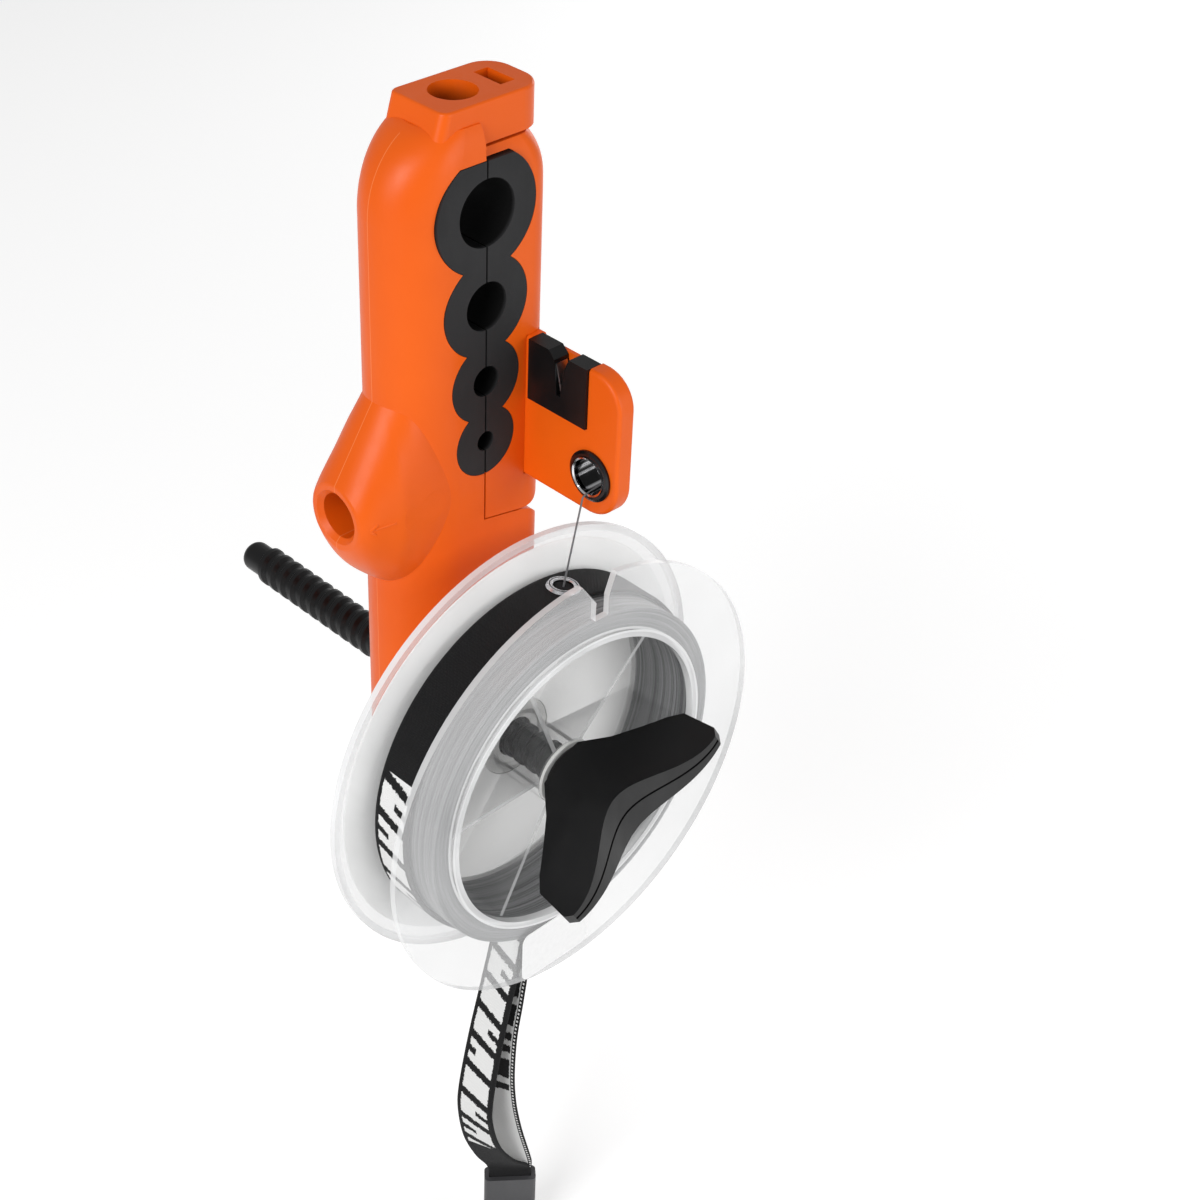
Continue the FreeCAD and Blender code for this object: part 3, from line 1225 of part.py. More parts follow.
def cutter_block():
    """Black block with a flared slot that leads the line to the blade, which is let into it."""
    body = new_body("cutter_blank")
    outline = sketch_on(body, "YZ_Plane", "cutter_outline", "dims.arm_left - dims.cutter_proud")
    back = "(-dims.column_depth / 2 - dims.arm_land)"
    middle = back + " - dims.slot_middle"
    floor = "dims.cutter_top - dims.slot_depth"
    polygon(outline, "cutter", [
        (back, "-dims.cutter_drop"),
        (back, "dims.cutter_top"),
        (back + " - dims.mouth_back", "dims.cutter_top"),
        (back + " - dims.throat_back", "dims.cutter_top - dims.throat_back_depth"),
        (middle + " + dims.slot_floor / 2", floor),
        (middle + " - dims.slot_floor / 2", floor),
        (back + " - dims.throat_front", "dims.cutter_top - dims.throat_front_depth"),
        (back + " - dims.mouth_front", "dims.cutter_top"),
        (back + " - dims.cutter_length", "dims.cutter_top"),
        (back + " - dims.cutter_length", "-dims.cutter_drop"),
    ])
    pad(body, outline, "cutter_pad", "dims.cutter_wide")
    seat = doc.addObject("Part::Box", "blade_seat")
    seat.setExpression("Length", "dims.blade_width + 2 * dims.blade_slip")
    seat.setExpression("Width", "dims.blade_length + 2 * dims.blade_slip")
    seat.setExpression("Height", "dims.blade_thick + 2 * dims.blade_slip")
    corner = Vector(-d.blade_width / 2 - d.blade_slip, -d.blade_length / 2 - d.blade_slip,
                    -d.blade_thick / 2 - d.blade_slip)
    seat.Placement = BLADE_PLACE.multiply(Placement(corner, Rotation()))
    block = doc.addObject("Part::Cut", "cutter_block")
    block.Base = body
    block.Tool = seat
    block.Label = "cutter_block"
    return block


def cutter_blade():
    """Small steel blade that leans over the slot, held in the block."""
    body = new_body("cutter_blade")
    outline = sketch_on(body, "YZ_Plane", "blade_outline")
    polygon(outline, "blade", [
        ("-dims.blade_length / 2", "-dims.blade_thick / 2"),
        ("dims.blade_length / 2", "-dims.blade_thick / 2"),
        ("dims.blade_length / 2", "dims.blade_thick / 2"),
        ("-dims.blade_length / 2", "dims.blade_thick / 2"),
    ])
    pad(body, outline, "blade_pad", "dims.blade_width", middle=True)
    body.Placement = BLADE_PLACE
    return body


guide_arm()
cutter_block()
cutter_blade()


def turned_ring(label, profile_points):
    """Ring about an X axis through the guide eye; points are (along X, radius)."""
    body = new_body(label)
    profile = sketch_on(body, "XZ_Plane", label + "_profile")
    polygon(profile, "ring", profile_points)
    revolve(body, profile, label + "_turn", "H_Axis")
    middle = "dims.arm_left + dims.arm_thick / 2"
    body.Placement = Placement(Vector(size(middle), size(RING_ALONG), size(RING_HEIGHT)), Rotation())
    body.setExpression("Placement.Base.x", middle)
    body.setExpression("Placement.Base.y", RING_ALONG)
    body.setExpression("Placement.Base.z", RING_HEIGHT)
    return body


half_arm = "dims.arm_thick / 2 + dims.ring_slip"
face = "(dims.arm_thick / 2 + dims.ring_lip)"
turned_ring("guide_ring", [
    ("-" + face, "dims.ring_seat"),
    ("-" + face, "dims.ring_outer - 0.6"),
    ("-" + face + " + 0.3", "dims.ring_outer"),
    ("-(" + half_arm + ")", "dims.ring_outer"),
    ("-(" + half_arm + ")", "dims.ring_neck"),
    (half_arm, "dims.ring_neck"),
    (half_arm, "dims.ring_outer"),
    (face + " - 0.3", "dims.ring_outer"),
    (face, "dims.ring_outer - 0.6"),
    (face, "dims.ring_seat"),
])
turned_ring("ring_liner", [
    ("-" + face + " - 0.3", "dims.ring_seat - dims.ring_slip"),
    (face + " + 0.3", "dims.ring_seat - dims.ring_slip"),
    (face + " + 0.1", "dims.ring_bore + 0.2"),
    (face + " - 0.8", "dims.ring_bore"),
    ("-" + face + " + 0.8", "dims.ring_bore"),
    ("-" + face + " - 0.1", "dims.ring_bore + 0.2"),
])


# ---------------------------------------------------------------- elastic band with its tail
def tail(side, low):
    """One tail: lofted and twisted down to the clip, then straight into it."""
    bow, peak = (d.outer_bow, d.outer_peak) if side < 0 else (d.inner_bow, d.inner_peak)
    straight_top = CLIP_TOP + d.tail_straight
    bend = math.log(0.5) / math.log(peak)

    def section(share):
        height = low.z + share * (straight_top - low.z)
        twist = max(0.0, (d.twist_start - height) / (d.twist_start - straight_top))
        turn = Rotation(UP, d.clip_turn * twist ** 1.5)
        out = turn.multVec(RIGHT)
        middle = out * (side * d.band_thick * d.ply_spread / 2 * share)
        middle.x += (low.x + d.band_exit) * (1 - share) - d.band_exit
        middle.x -= bow * math.sin(math.pi * share ** bend)
        middle += Vector(0, BAND_MIDDLE, height)
        across = out * (d.band_thick / 2)
        wide = turn.multVec(BACK) * (d.band_width / 2)
        corners = [middle + across + wide, middle - across + wide, middle - across - wide,
                   middle + across - wide]
        return Part.makePolygon(corners + corners[:1])

    shares = [0.0, 0.04, 0.12, 0.25, 0.4, 0.55, 0.68, 0.8, 0.9, 0.96, 1.0]
    twisted = Part.makeLoft([section(share) for share in shares], True, False)
    straight = Part.Face(section(1.0)).extrude(Vector(0, 0, -d.tail_straight - d.clip_grip))
    return twisted.fuse(straight)


def band():
    """Webbing loop round the wound line; both ends turn down into the tail."""
    centre = SPOOL_AXIS + Vector(0, BAND_MIDDLE, 0)
    folds = []
    for side in (-1, 1):
        exit_x = -d.band_exit + side * (d.band_ply_gap + d.band_thick) / 2
        fold_x = exit_x + side * d.band_fold
        drop = math.sqrt((BAND_RADIUS + d.band_fold) ** 2 - fold_x ** 2)
        fold = centre + Vector(fold_x, 0, -drop)
        touch = centre + (fold - centre) * (BAND_RADIUS / (fold - centre).Length)
        low = Vector(exit_x, BAND_MIDDLE, fold.z)
        middle = ((touch - fold) + (low - fold)).normalize() * d.band_fold + fold
        folds.append((touch, middle, low))
    left, right = folds
    loop_top = centre + UP * BAND_RADIUS
    path = Part.__sortEdges__([
        Part.Arc(left[2], left[1], left[0]).toShape(),
        Part.Arc(left[0], loop_top, right[0]).toShape(),
        Part.Arc(right[0], right[1], right[2]).toShape(),
    ])
    start = path[0].valueAt(path[0].FirstParameter)
    across = RIGHT * (d.band_thick / 2)
    wide = BACK * (d.band_width / 2)
    corners = [start + across + wide, start - across + wide, start - across - wide,
               start + across - wide]
    loop = swept(path, Part.makePolygon(corners + corners[:1]), BACK)
    tails = [tail(-1, left[2]), tail(1, right[2])]
    if loop.Volume < 0:
        loop.reverse()
    length = sum(edge.Length for edge in path)
    for ply in tails:
        length += ply.Volume / (d.band_width * d.band_thick)
    print("elastic band: length", round(length, 1), "volumes",
          [round(solid.Volume, 1) for solid in [loop] + tails])
    hole = Part.makeCylinder(d.eyelet_neck + d.eyelet_slip, 2 * d.band_fold + d.band_thick,
                             Vector(0, 0, BAND_RADIUS - d.band_fold), UP)
    hole.Placement = Placement(centre, Rotation(BACK, 90 - d.eyelet_turn))
    return loop.fuse(tails).cut(hole)


part_feature("elastic_band", band())

band_eyelet = new_body("band_eyelet")
eyelet_sketch = sketch_on(band_eyelet, "XZ_Plane", "eyelet_profile")
web_top = "dims.band_thick / 2"
polygon(eyelet_sketch, "eyelet", [
    ("dims.eyelet_hole", "-" + web_top),
    ("dims.eyelet_neck", "-" + web_top),
    ("dims.eyelet_neck", web_top),
    ("dims.eyelet_outer", web_top),
    ("dims.eyelet_outer - 0.4", web_top + " + dims.eyelet_rim"),
    ("dims.eyelet_hole + 0.3", web_top + " + dims.eyelet_rim"),
    ("dims.eyelet_hole", web_top + " + dims.eyelet_rim - 0.3"),
])
revolve(band_eyelet, eyelet_sketch, "eyelet_turn_feature", "V_Axis")
eyelet_rotation = Rotation(BACK, 90 - d.eyelet_turn)
eyelet_out = eyelet_rotation.multVec(UP)
band_eyelet.Placement = Placement(
    SPOOL_AXIS + eyelet_out * BAND_RADIUS + Vector(0, BAND_MIDDLE, 0), eyelet_rotation)


def strap_clip():
    """Moulded clip that closes the tail."""
    body = new_body("strap_clip")
    outline = sketch_on(body, "XY_Plane", "clip_plan")
    polygon(outline, "clip", [
        ("-dims.clip_thick / 2", "-dims.clip_width / 2"),
        ("dims.clip_thick / 2", "-dims.clip_width / 2"),
        ("dims.clip_thick / 2", "dims.clip_width / 2"),
        ("-dims.clip_thick / 2", "dims.clip_width / 2"),
    ])
    blank = pad(body, outline, "clip_pad", "dims.clip_height", reverse=True)
    blank = fillet(body, blank, "clip_edges", "dims.clip_thick / 4",
                   lambda edge: edge.BoundBox.ZLength > d.clip_height - 0.1)
    mouth = sketch_on(body, "XY_Plane", "clip_mouth")
    half = "(dims.band_thick * (dims.ply_spread + 1) / 2 + dims.clip_slip)"
    wide = "(dims.band_width / 2 + 2 * dims.clip_slip)"
    polygon(mouth, "mouth", [("-" + half, "-" + wide), (half, "-" + wide), (half, wide),
                             ("-" + half, wide)])
    pocket(body, mouth, "clip_mouth_cut", "dims.clip_grip + dims.clip_slip", reverse=False)
    body.Placement = Placement(Vector(-d.band_exit, BAND_MIDDLE, CLIP_TOP), Rotation(UP, d.clip_turn))
    body.setExpression("Placement.Base.x", "-dims.band_exit")
    body.setExpression("Placement.Base.y", "-dims.band_back - dims.band_width / 2")
    body.setExpression("Placement.Base.z", "-dims.spindle_drop - dims.tail_drop + dims.clip_grip")
    return body


strap_clip()


# ---------------------------------------------------------------- fishing line, eyelet to ring
def line_lead():
    """Tight run of line from the winding through the eyelet and over the ring's lower lip."""
    start = SPOOL_AXIS + eyelet_out * (BAND_RADIUS - d.band_thick / 2) + Vector(0, BAND_MIDDLE, 0)
    ring_middle = d.arm_left + d.arm_thick / 2
    lip = d.arm_thick / 2 + d.ring_lip + d.line_bend
    along = size(RING_ALONG)
    floor = size(RING_HEIGHT) - d.ring_bore + d.line_radius + d.line_clear
    points = [start, Vector(ring_middle - lip, along, floor),
              Vector(ring_middle + lip + d.line_end, along, floor)]
    path = rounded_path(points, [d.line_bend])
    ring = Part.Wire(Part.makeCircle(d.line_radius, start, points[1] - points[0]))
    solid = swept(path, ring)
    print("line lead: length", round(sum(edge.Length for edge in path), 1))
    return solid


part_feature("line_lead", line_lead())


# ---------------------------------------------------------------- check and write
NODES = [
    "front_shell", "rear_shell", "shell_screws", "left_rubber_pad", "spindle_nut",
    "side_spindle_nut",
    "hinge_pin", "jaw_spring", "pressure_plate", "tension_spring", "friction_washer",
    "elastic_band", "band_eyelet", "strap_clip", "line_lead",
    "jaw_front_shell", "jaw_rear_shell", "jaw_screws", "right_rubber_pad",
    "guide_arm", "cutter_block", "cutter_blade", "guide_ring", "ring_liner",
    "thrust_washer", "threaded_spindle", "knob_upper_half", "knob_lower_half",
    "spool_drum", "spool_rear_flange", "line_winding", "spool_label", "flange_sticker",
]

doc.recompute()
for item in doc.Objects:
    if "Invalid" in item.State or "Error" in item.State:
        raise RuntimeError(f"{item.Label} failed: {item.State}")
os.makedirs("parts", exist_ok=True)
for label in NODES:
    shape = doc.getObjectsByLabel(label)[0].Shape
    if shape.isNull() or not shape.isValid():
        raise RuntimeError(f"{label} has no valid shape")
    if not shape.Solids:
        raise RuntimeError(f"{label} has no solid")
    shape.exportStep(f"parts/{label}.step")
print("wrote", len(NODES), "nodes")
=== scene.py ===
import math

import bpy
from mathutils import Euler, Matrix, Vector
from mathutils.bvhtree import BVHTree


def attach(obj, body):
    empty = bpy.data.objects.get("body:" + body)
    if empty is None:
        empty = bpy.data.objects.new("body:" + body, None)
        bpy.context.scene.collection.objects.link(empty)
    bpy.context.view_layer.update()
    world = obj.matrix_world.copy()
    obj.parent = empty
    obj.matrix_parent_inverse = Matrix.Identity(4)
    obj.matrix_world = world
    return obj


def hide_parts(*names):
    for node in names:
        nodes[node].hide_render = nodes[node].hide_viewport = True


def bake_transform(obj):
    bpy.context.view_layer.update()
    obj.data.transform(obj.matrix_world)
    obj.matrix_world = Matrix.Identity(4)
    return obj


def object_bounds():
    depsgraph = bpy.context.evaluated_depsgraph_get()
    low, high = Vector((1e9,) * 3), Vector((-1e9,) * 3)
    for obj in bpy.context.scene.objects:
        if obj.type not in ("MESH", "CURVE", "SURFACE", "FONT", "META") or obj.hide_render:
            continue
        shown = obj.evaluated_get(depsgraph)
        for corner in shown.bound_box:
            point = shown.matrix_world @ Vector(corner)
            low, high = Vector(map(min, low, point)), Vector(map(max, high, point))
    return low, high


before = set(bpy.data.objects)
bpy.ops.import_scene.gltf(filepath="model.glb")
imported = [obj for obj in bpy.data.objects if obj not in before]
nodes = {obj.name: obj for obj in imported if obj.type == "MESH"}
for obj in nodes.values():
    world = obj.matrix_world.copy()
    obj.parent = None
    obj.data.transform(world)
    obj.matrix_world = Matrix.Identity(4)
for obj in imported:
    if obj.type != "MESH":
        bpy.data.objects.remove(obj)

cad_low, cad_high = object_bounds()
scene = bpy.context.scene
scene.view_settings.view_transform = "Standard"

MM = 0.001
WHITE = (1, 1, 1, 1)
BLACK = (0, 0, 0, 1)


# ------------------------------------------------------------------ places, in millimetres
# The seam of body and jaw is at X 0, and the seam of the front and rear shells at Y 0.
PARTING_HALF = 0.09                     # half width of the painted highlight along the line between the shells
PARTING_TOP = 51.0                      # the line ends in the cap
CAP_FACE, CAP_DEEP = 55.4, 49.0         # heights between which the cap's openings darken
CAP_LOWEST = 46.0                       # nothing lower belongs to those openings
CAP_SLOT_X = 10.5
CAP_SLOT_HALF = (1.86, 3.76)            # along X and Y
CAP_BORE_AXIS = (0.5, 0.0, 0.0)         # a point on the axis, which runs along Z
CAP_BORE_RADIUS = 4.76
PAD_FACE, PAD_DEEP = 9.96, 9.1          # distances from Y 0 between which the rubber darkens

# The spool's axis runs along Y through X 0; the front is the side with the lower Y.
SPOOL_Z = -81.85
FLANGE_FROM = 34.6                      # radius where the flanges start
FLANGE_BEAD = 48.6                      # radius where the bead at their rim starts
DRUM_RIM = (33.3, 35.1)                 # radii of the drum wall
DRUM_RIM_FRONT = -38.0                  # the painted highlight on the wall's edge is in front of this
WEB_REACH = 33.4                        # the webs are inside this radius
WEB_FRONT = -24.0                       # the painted highlights on their edges are in front of this
LABEL_RADII = (9.06, 46.48)
LABEL_Y = (-20.18, -20.07)              # the front face is 0.02 behind the rear flange

SPRING_WIRE = 0.62                      # radius of the wire
SPRING_MEAN = 7.4                       # radius of the coil
SPRING_Y = (-16.46, -7.84)
SPRING_TURNS = 3.5

ARROW_TAIL = (-22.5, -22.85)
ARROW_NECK = (-26.9, -23.05)
ARROW_TIP = (-27.9, -23.2)
ARROW_BARBS = [(-26.3, -22.0), (-26.7, -24.4)]
ARROW_WIDTH = 0.6
ARROW_HEIGHT = 0.22

RING_AXIS = (0.0, -28.85, -16.75)       # a point on the axis, which runs along X
LINER_BORE = 3.72                       # radius
EYELET_AXIS = (5.56, -27.2, -42.29)     # a point on the axis
EYELET_OUT = (0.1392, 0.0, 0.9903)      # its direction, away from the spool's axis
EYELET_GROOVE = (2.72, 2.98)            # radii
EYELET_BORE = 2.14                      # radius

BAND_RADIUS = 39.95                     # of the middle of the webbing, round the wound line
BAND_Y = -27.2
BAND_CENTRE = Vector((0, BAND_Y, SPOOL_Z))
BAND_WIDE = 10.0
BAND_THICK = 0.9

LINE_RADIUS = 0.2
LINE_START = Vector((5.497, BAND_Y, -42.734))
RING_LIP = Vector((8.7, -28.85, -20.05))
LINE_END = Vector((18.0, -28.85, -20.05))
LIP_RUN = 2.4                           # one more point lies so far before the lip

# The tail's two plies hang from the foot of the loop and meet in the clip.
TAIL_X = -5.6                           # middle between the plies at the loop and at the clip
LEFT_PLY = [(-6.45, -123.3), (-8.2, -134.0), (-11.4, -147.0), (-14.6, -161.0), (-17.0, -175.0),
            (-17.0, -183.0), (-14.8, -193.0), (-10.6, -202.0), (-6.6, -208.0)]
RIGHT_PLY = [(-4.75, -123.3), (-5.6, -134.0), (-7.4, -147.0), (-9.4, -158.0), (-10.2, -170.0),
             (-9.8, -180.0), (-8.4, -190.0), (-6.6, -200.0), (-5.3, -208.0)]
PLY_FROM_MIDDLE = 0.85                  # at the loop
FOLD_RADIUS = 1.4                       # where a ply bends over into the loop
TWIST_FROM, TWIST_TO = -146.0, -209.05  # heights between which the tail twists
CLIP_TURN = math.radians(50.0)
CLIP_ENDS = (-211.45, -214.05)          # heights of the route's points in the clip
CLIP_PLY_FROM_MIDDLE = 0.495


# ------------------------------------------------------------------ camera
def photo_camera():
    data = bpy.data.cameras.new("photo_camera")
    data.lens = 65.14
    data.sensor_width = 36.0
    data.clip_start = 0.01
    camera = bpy.data.objects.new("photo_camera", data)
    camera.location = (-0.24424, -0.27638, 0.21143)
    turns = (53.98574, -2.202513, -44.69242)
    camera.rotation_euler = Euler([math.radians(a) for a in turns], "XYZ")
    scene.collection.objects.link(camera)
    scene.camera = camera


photo_camera()


# ------------------------------------------------------------------ node helpers
def linear(r, g, b):
    """sRGB 0..255 to the shader's linear colour."""
    out = []
    for c in (r, g, b):
        c /= 255.0
        out.append(c / 12.92 if c <= 0.04045 else ((c + 0.055) / 1.055) ** 2.4)
    return (*out, 1.0)


def dimmed(colour, share):
    """The colour at a share of its brightness."""
    return tuple(c * share for c in colour[:3]) + (1.0,)


class Tree:
    """Short way to write a node tree, with values or output sockets as a node's inputs."""

    def __init__(self, tree):
        self.tree = tree
        tree.nodes.clear()

    def link(self, output, socket):
        self.tree.links.new(output, socket)

    def fill(self, socket, value):
        if isinstance(value, bpy.types.NodeSocket):
            self.link(value, socket)
        else:
            socket.default_value = value

    def node(self, kind, values=None, **settings):
        made = self.tree.nodes.new(kind)
        for key, value in settings.items():
            setattr(made, key, value)
        for key, value in (values or {}).items():
            self.fill(made.inputs[key], value)
        return made

    def math(self, what, a, b=0.0, c=0.0):
        return self.node("ShaderNodeMath", {0: a, 1: b, 2: c}, operation=what).outputs[0]

    def times(self, a, b):
        return self.math("MULTIPLY", a, b)

    def over(self, value, limit):
        """1 where the value is over the limit, else 0."""
        return self.math("GREATER_THAN", value, limit)

    def under(self, value, limit):
        """1 where the value is under the limit, else 0."""
        return self.math("LESS_THAN", value, limit)

    def between(self, value, low, high):
        """1 where the value is between the two, else 0."""
        return self.times(self.over(value, low), self.under(value, high))


class Nodes(Tree):
    """A principled material; the helpers return the output socket that they make."""

    def __init__(self, name, **principled):
        self.material = bpy.data.materials.new(name)
        self.material.use_nodes = True
        super().__init__(self.material.node_tree)
        self.out = self.node("ShaderNodeOutputMaterial")
        self.shader = self.node("ShaderNodeBsdfPrincipled")
        self.link(self.shader.outputs["BSDF"], self.out.inputs["Surface"])
        for key, value in principled.items():
            self.shader.inputs[key.replace("_", " ")].default_value = value

    def to(self, socket, value):
        self.link(value, self.shader.inputs[socket])

    def where(self):
        return self.node("ShaderNodeTexCoord").outputs["Object"]

    def uv(self):
        return self.node("ShaderNodeTexCoord").outputs["UV"]

    def axes(self):
        """X, Y and Z of the shaded point about the spool's axis, in millimetres, and its radius."""
        split = self.node("ShaderNodeSeparateXYZ", {"Vector": self.where()})
        x, y, z = [self.times(split.outputs[k], 1 / MM) for k in range(3)]
        z = self.math("ADD", z, -SPOOL_Z)
        radius = self.math("SQRT", self.math("ADD", self.times(x, x), self.times(z, z)))
        return x, y, z, radius

    def from_line(self, point, direction):
        """Distance in millimetres from the line through a point, given in millimetres."""
        at = self.node("ShaderNodeVectorMath", {0: self.where(), 1: [c * MM for c in point]},
                       operation="SUBTRACT").outputs[0]
        cross = self.node("ShaderNodeVectorMath", {0: at, 1: direction},
                          operation="CROSS_PRODUCT").outputs[0]
        length = self.node("ShaderNodeVectorMath", {0: cross}, operation="LENGTH")
        return self.times(length.outputs["Value"], 1 / MM)

    def noise(self, scale, detail=3.0, rough=0.55, at=None, stretch=None):
        at = at or self.where()
        if stretch:
            at = self.node("ShaderNodeMapping", {"Vector": at, "Scale": stretch}).outputs[0]
        values = {"Vector": at, "Scale": scale, "Detail": detail, "Roughness": rough}
        return self.node("ShaderNodeTexNoise", values).outputs["Fac"]

    def ramp(self, value, low, high, to_low=0.0, to_high=1.0):
        values = {"Value": value, "From Min": low, "From Max": high, "To Min": to_low,
                  "To Max": to_high}
        return self.node("ShaderNodeMapRange", values, clamp=True).outputs["Result"]

    def mix(self, factor, a, b):
        """Colour a where the factor is 0 and b where it is 1."""
        made = self.node("ShaderNodeMix", data_type="RGBA")
        for socket, value in ((made.inputs[0], factor), (made.inputs[6], a), (made.inputs[7], b)):
            self.fill(socket, value)
        return made.outputs[2]

    def cover(self, factor, colour):
        """Lays a colour over the base colour."""
        before = self.shader.inputs["Base Color"].links[0].from_socket
        self.to("Base Color", self.mix(factor, before, colour))

    def darken(self, mask, share):
        """Darkens the base colour where the mask is 1."""
        self.cover(self.times(mask, share), BLACK)

    def bump(self, height, strength, distance, before=None):
        values = {"Height": height, "Strength": strength, "Distance": distance}
        made = self.node("ShaderNodeBump", values)
        if before is not None:
            self.link(before, made.inputs["Normal"])
        return made.outputs["Normal"]

    def in_shadow(self, value):
        """1, plus the value for shadow rays, so that a shadow lets light through."""
        shadow = self.node("ShaderNodeLightPath").outputs["Is Shadow Ray"]
        return self.math("MULTIPLY_ADD", shadow, value, 1.0)


# ------------------------------------------------------------------ plastics and rubber
def moulded(name, colour, darker, rough, grain=0.5, flow=0.5, **principled):
    """Moulded plastic or rubber: slow colour drift, fine spark grain, soft scuffs in the gloss."""
    m = Nodes(name, **principled)
    drift = m.noise(38.0, 2.0)
    m.to("Base Color", m.mix(m.ramp(drift, 0.35, 0.7), colour, darker))
    scuff = m.noise(240.0, 4.0, 0.6, stretch=(1.0, 1.0, 0.35))
    m.to("Roughness", m.ramp(scuff, 0.3, 0.75, rough - 0.05, rough + 0.07))
    waves = m.bump(m.noise(55.0, 1.5), flow, 0.0002)
    m.to("Normal", m.bump(m.noise(3800.0, 2.0, 0.7), grain, 0.00004, waves))
    return m


def body_orange():
    """Satin orange with a painted highlight along the fine line where the two shells meet."""
    m = moulded("orange_satin", linear(230, 95, 13), linear(224, 89, 9), 0.38, 0.35, 0.10,
                IOR=1.46, Specular_IOR_Level=0.26)
    x, y, above_spool, _ = m.axes()
    z = m.math("ADD", above_spool, SPOOL_Z)
    across = m.math("ABSOLUTE", y)
    # painted highlight: lighter orange along the ridge where the shells meet
    parting_highlight = m.times(m.under(across, PARTING_HALF), m.under(z, PARTING_TOP))
    m.cover(m.times(parting_highlight, 0.25), linear(255, 176, 118))
    # the cap's two openings get less light the deeper they go
    from_slot = m.math("ABSOLUTE", m.math("ADD", x, -CAP_SLOT_X))
    slot = m.times(m.under(from_slot, CAP_SLOT_HALF[0]), m.under(across, CAP_SLOT_HALF[1]))
    bore = m.under(m.from_line(CAP_BORE_AXIS, (0.0, 0.0, 1.0)), CAP_BORE_RADIUS)
    depth = m.ramp(z, CAP_FACE, CAP_DEEP, 0.0, 0.85)
    m.darken(m.times(m.math("MAXIMUM", slot, bore), depth), m.over(z, CAP_LOWEST))
    return m


def deep_rubber():
    """Matt grey rubber; the bores get no light, so it darkens away from the two faces."""
    m = moulded("grey_rubber", linear(44, 44, 45), linear(35, 35, 36), 0.68, 0.9, 0.3,
                Specular_IOR_Level=0.18)
    _, y, _, _ = m.axes()
    m.darken(m.ramp(m.math("ABSOLUTE", y), PAD_FACE, PAD_DEEP), 0.94)
    return m


orange = body_orange()
rubber = deep_rubber()
black = moulded("black_satin", linear(17, 17, 18), linear(11, 11, 12), 0.34, 0.5, 0.25,
                Specular_IOR_Level=0.28)
knob_black = moulded("knob_soft_black", linear(15, 15, 16), linear(10, 10, 11), 0.40, 0.45, 0.12,
                     Specular_IOR_Level=0.24)
clip_grey = moulded("clip_grey", linear(66, 66, 68), linear(56, 56, 58), 0.5, 0.8, 0.2)
washer_white = moulded("nylon_white", linear(232, 232, 230), linear(222, 222, 219), 0.5, 0.6, 0.2)
ring_black = moulded("ring_gloss", linear(22, 22, 24), linear(14, 14, 15), 0.2, 0.1, 0.1,
                     Metallic=0.35)


# ------------------------------------------------------------------ metals
def turned_metal(name, colour, rough):
    """Turned or drawn metal: fine rings in the bump and small changes in the gloss."""
    m = Nodes(name, Metallic=1.0)
    tone = m.noise(90.0, 3.0)
    m.to("Base Color", m.mix(m.ramp(tone, 0.3, 0.75), colour, dimmed(colour, 0.82)))
    m.to("Roughness", m.ramp(m.noise(700.0, 3.0), 0.3, 0.7, rough - 0.04, rough + 0.08))
    m.to("Normal", m.bump(m.noise(2600.0, 2.0, stretch=(1.0, 12.0, 1.0)), 0.25, 0.00002))
    return m


def liner_chrome():
    """Bright rims; the bore gets painted dark streaks along its axis, a painted reflection of the dark
    inside of the arm.
    """
    m = turned_metal("bright_chrome", (0.80, 0.80, 0.82, 1), 0.12)
    _, y, z, _ = m.axes()
    up = m.math("ADD", z, SPOOL_Z - RING_AXIS[2])
    angle = m.math("ARCTAN2", m.math("ADD", y, -RING_AXIS[1]), up)
    reflection_streak = m.noise(1.0, 2.0, at=m.node("ShaderNodeCombineXYZ", {0: angle, 1: 3.0}).outputs[0],
                     stretch=(2.3, 1.0, 1.0))
    wall = m.under(m.from_line(RING_AXIS, (1.0, 0.0, 0.0)), LINER_BORE)
    # painted reflection: dark streaks on the bore's wall
    m.darken(m.times(wall, m.ramp(reflection_streak, 0.60, 0.52)), 0.97)
    return m


def eyelet_nickel():
    """Rolled rim with painted shade in the groove round it, and painted shade in the barrel, which
    gets no light.
    """
    m = turned_metal("eyelet_nickel", (0.70, 0.70, 0.72, 1), 0.24)
    away = m.from_line(EYELET_AXIS, EYELET_OUT)
    # painted shade in the groove and in the barrel
    m.darken(m.math("MAXIMUM", m.between(away, *EYELET_GROOVE), m.under(away, EYELET_BORE)), 0.95)
    return m


steel = turned_metal("zinc_steel", (0.60, 0.60, 0.62, 1), 0.30)
bright = liner_chrome()
nickel = eyelet_nickel()


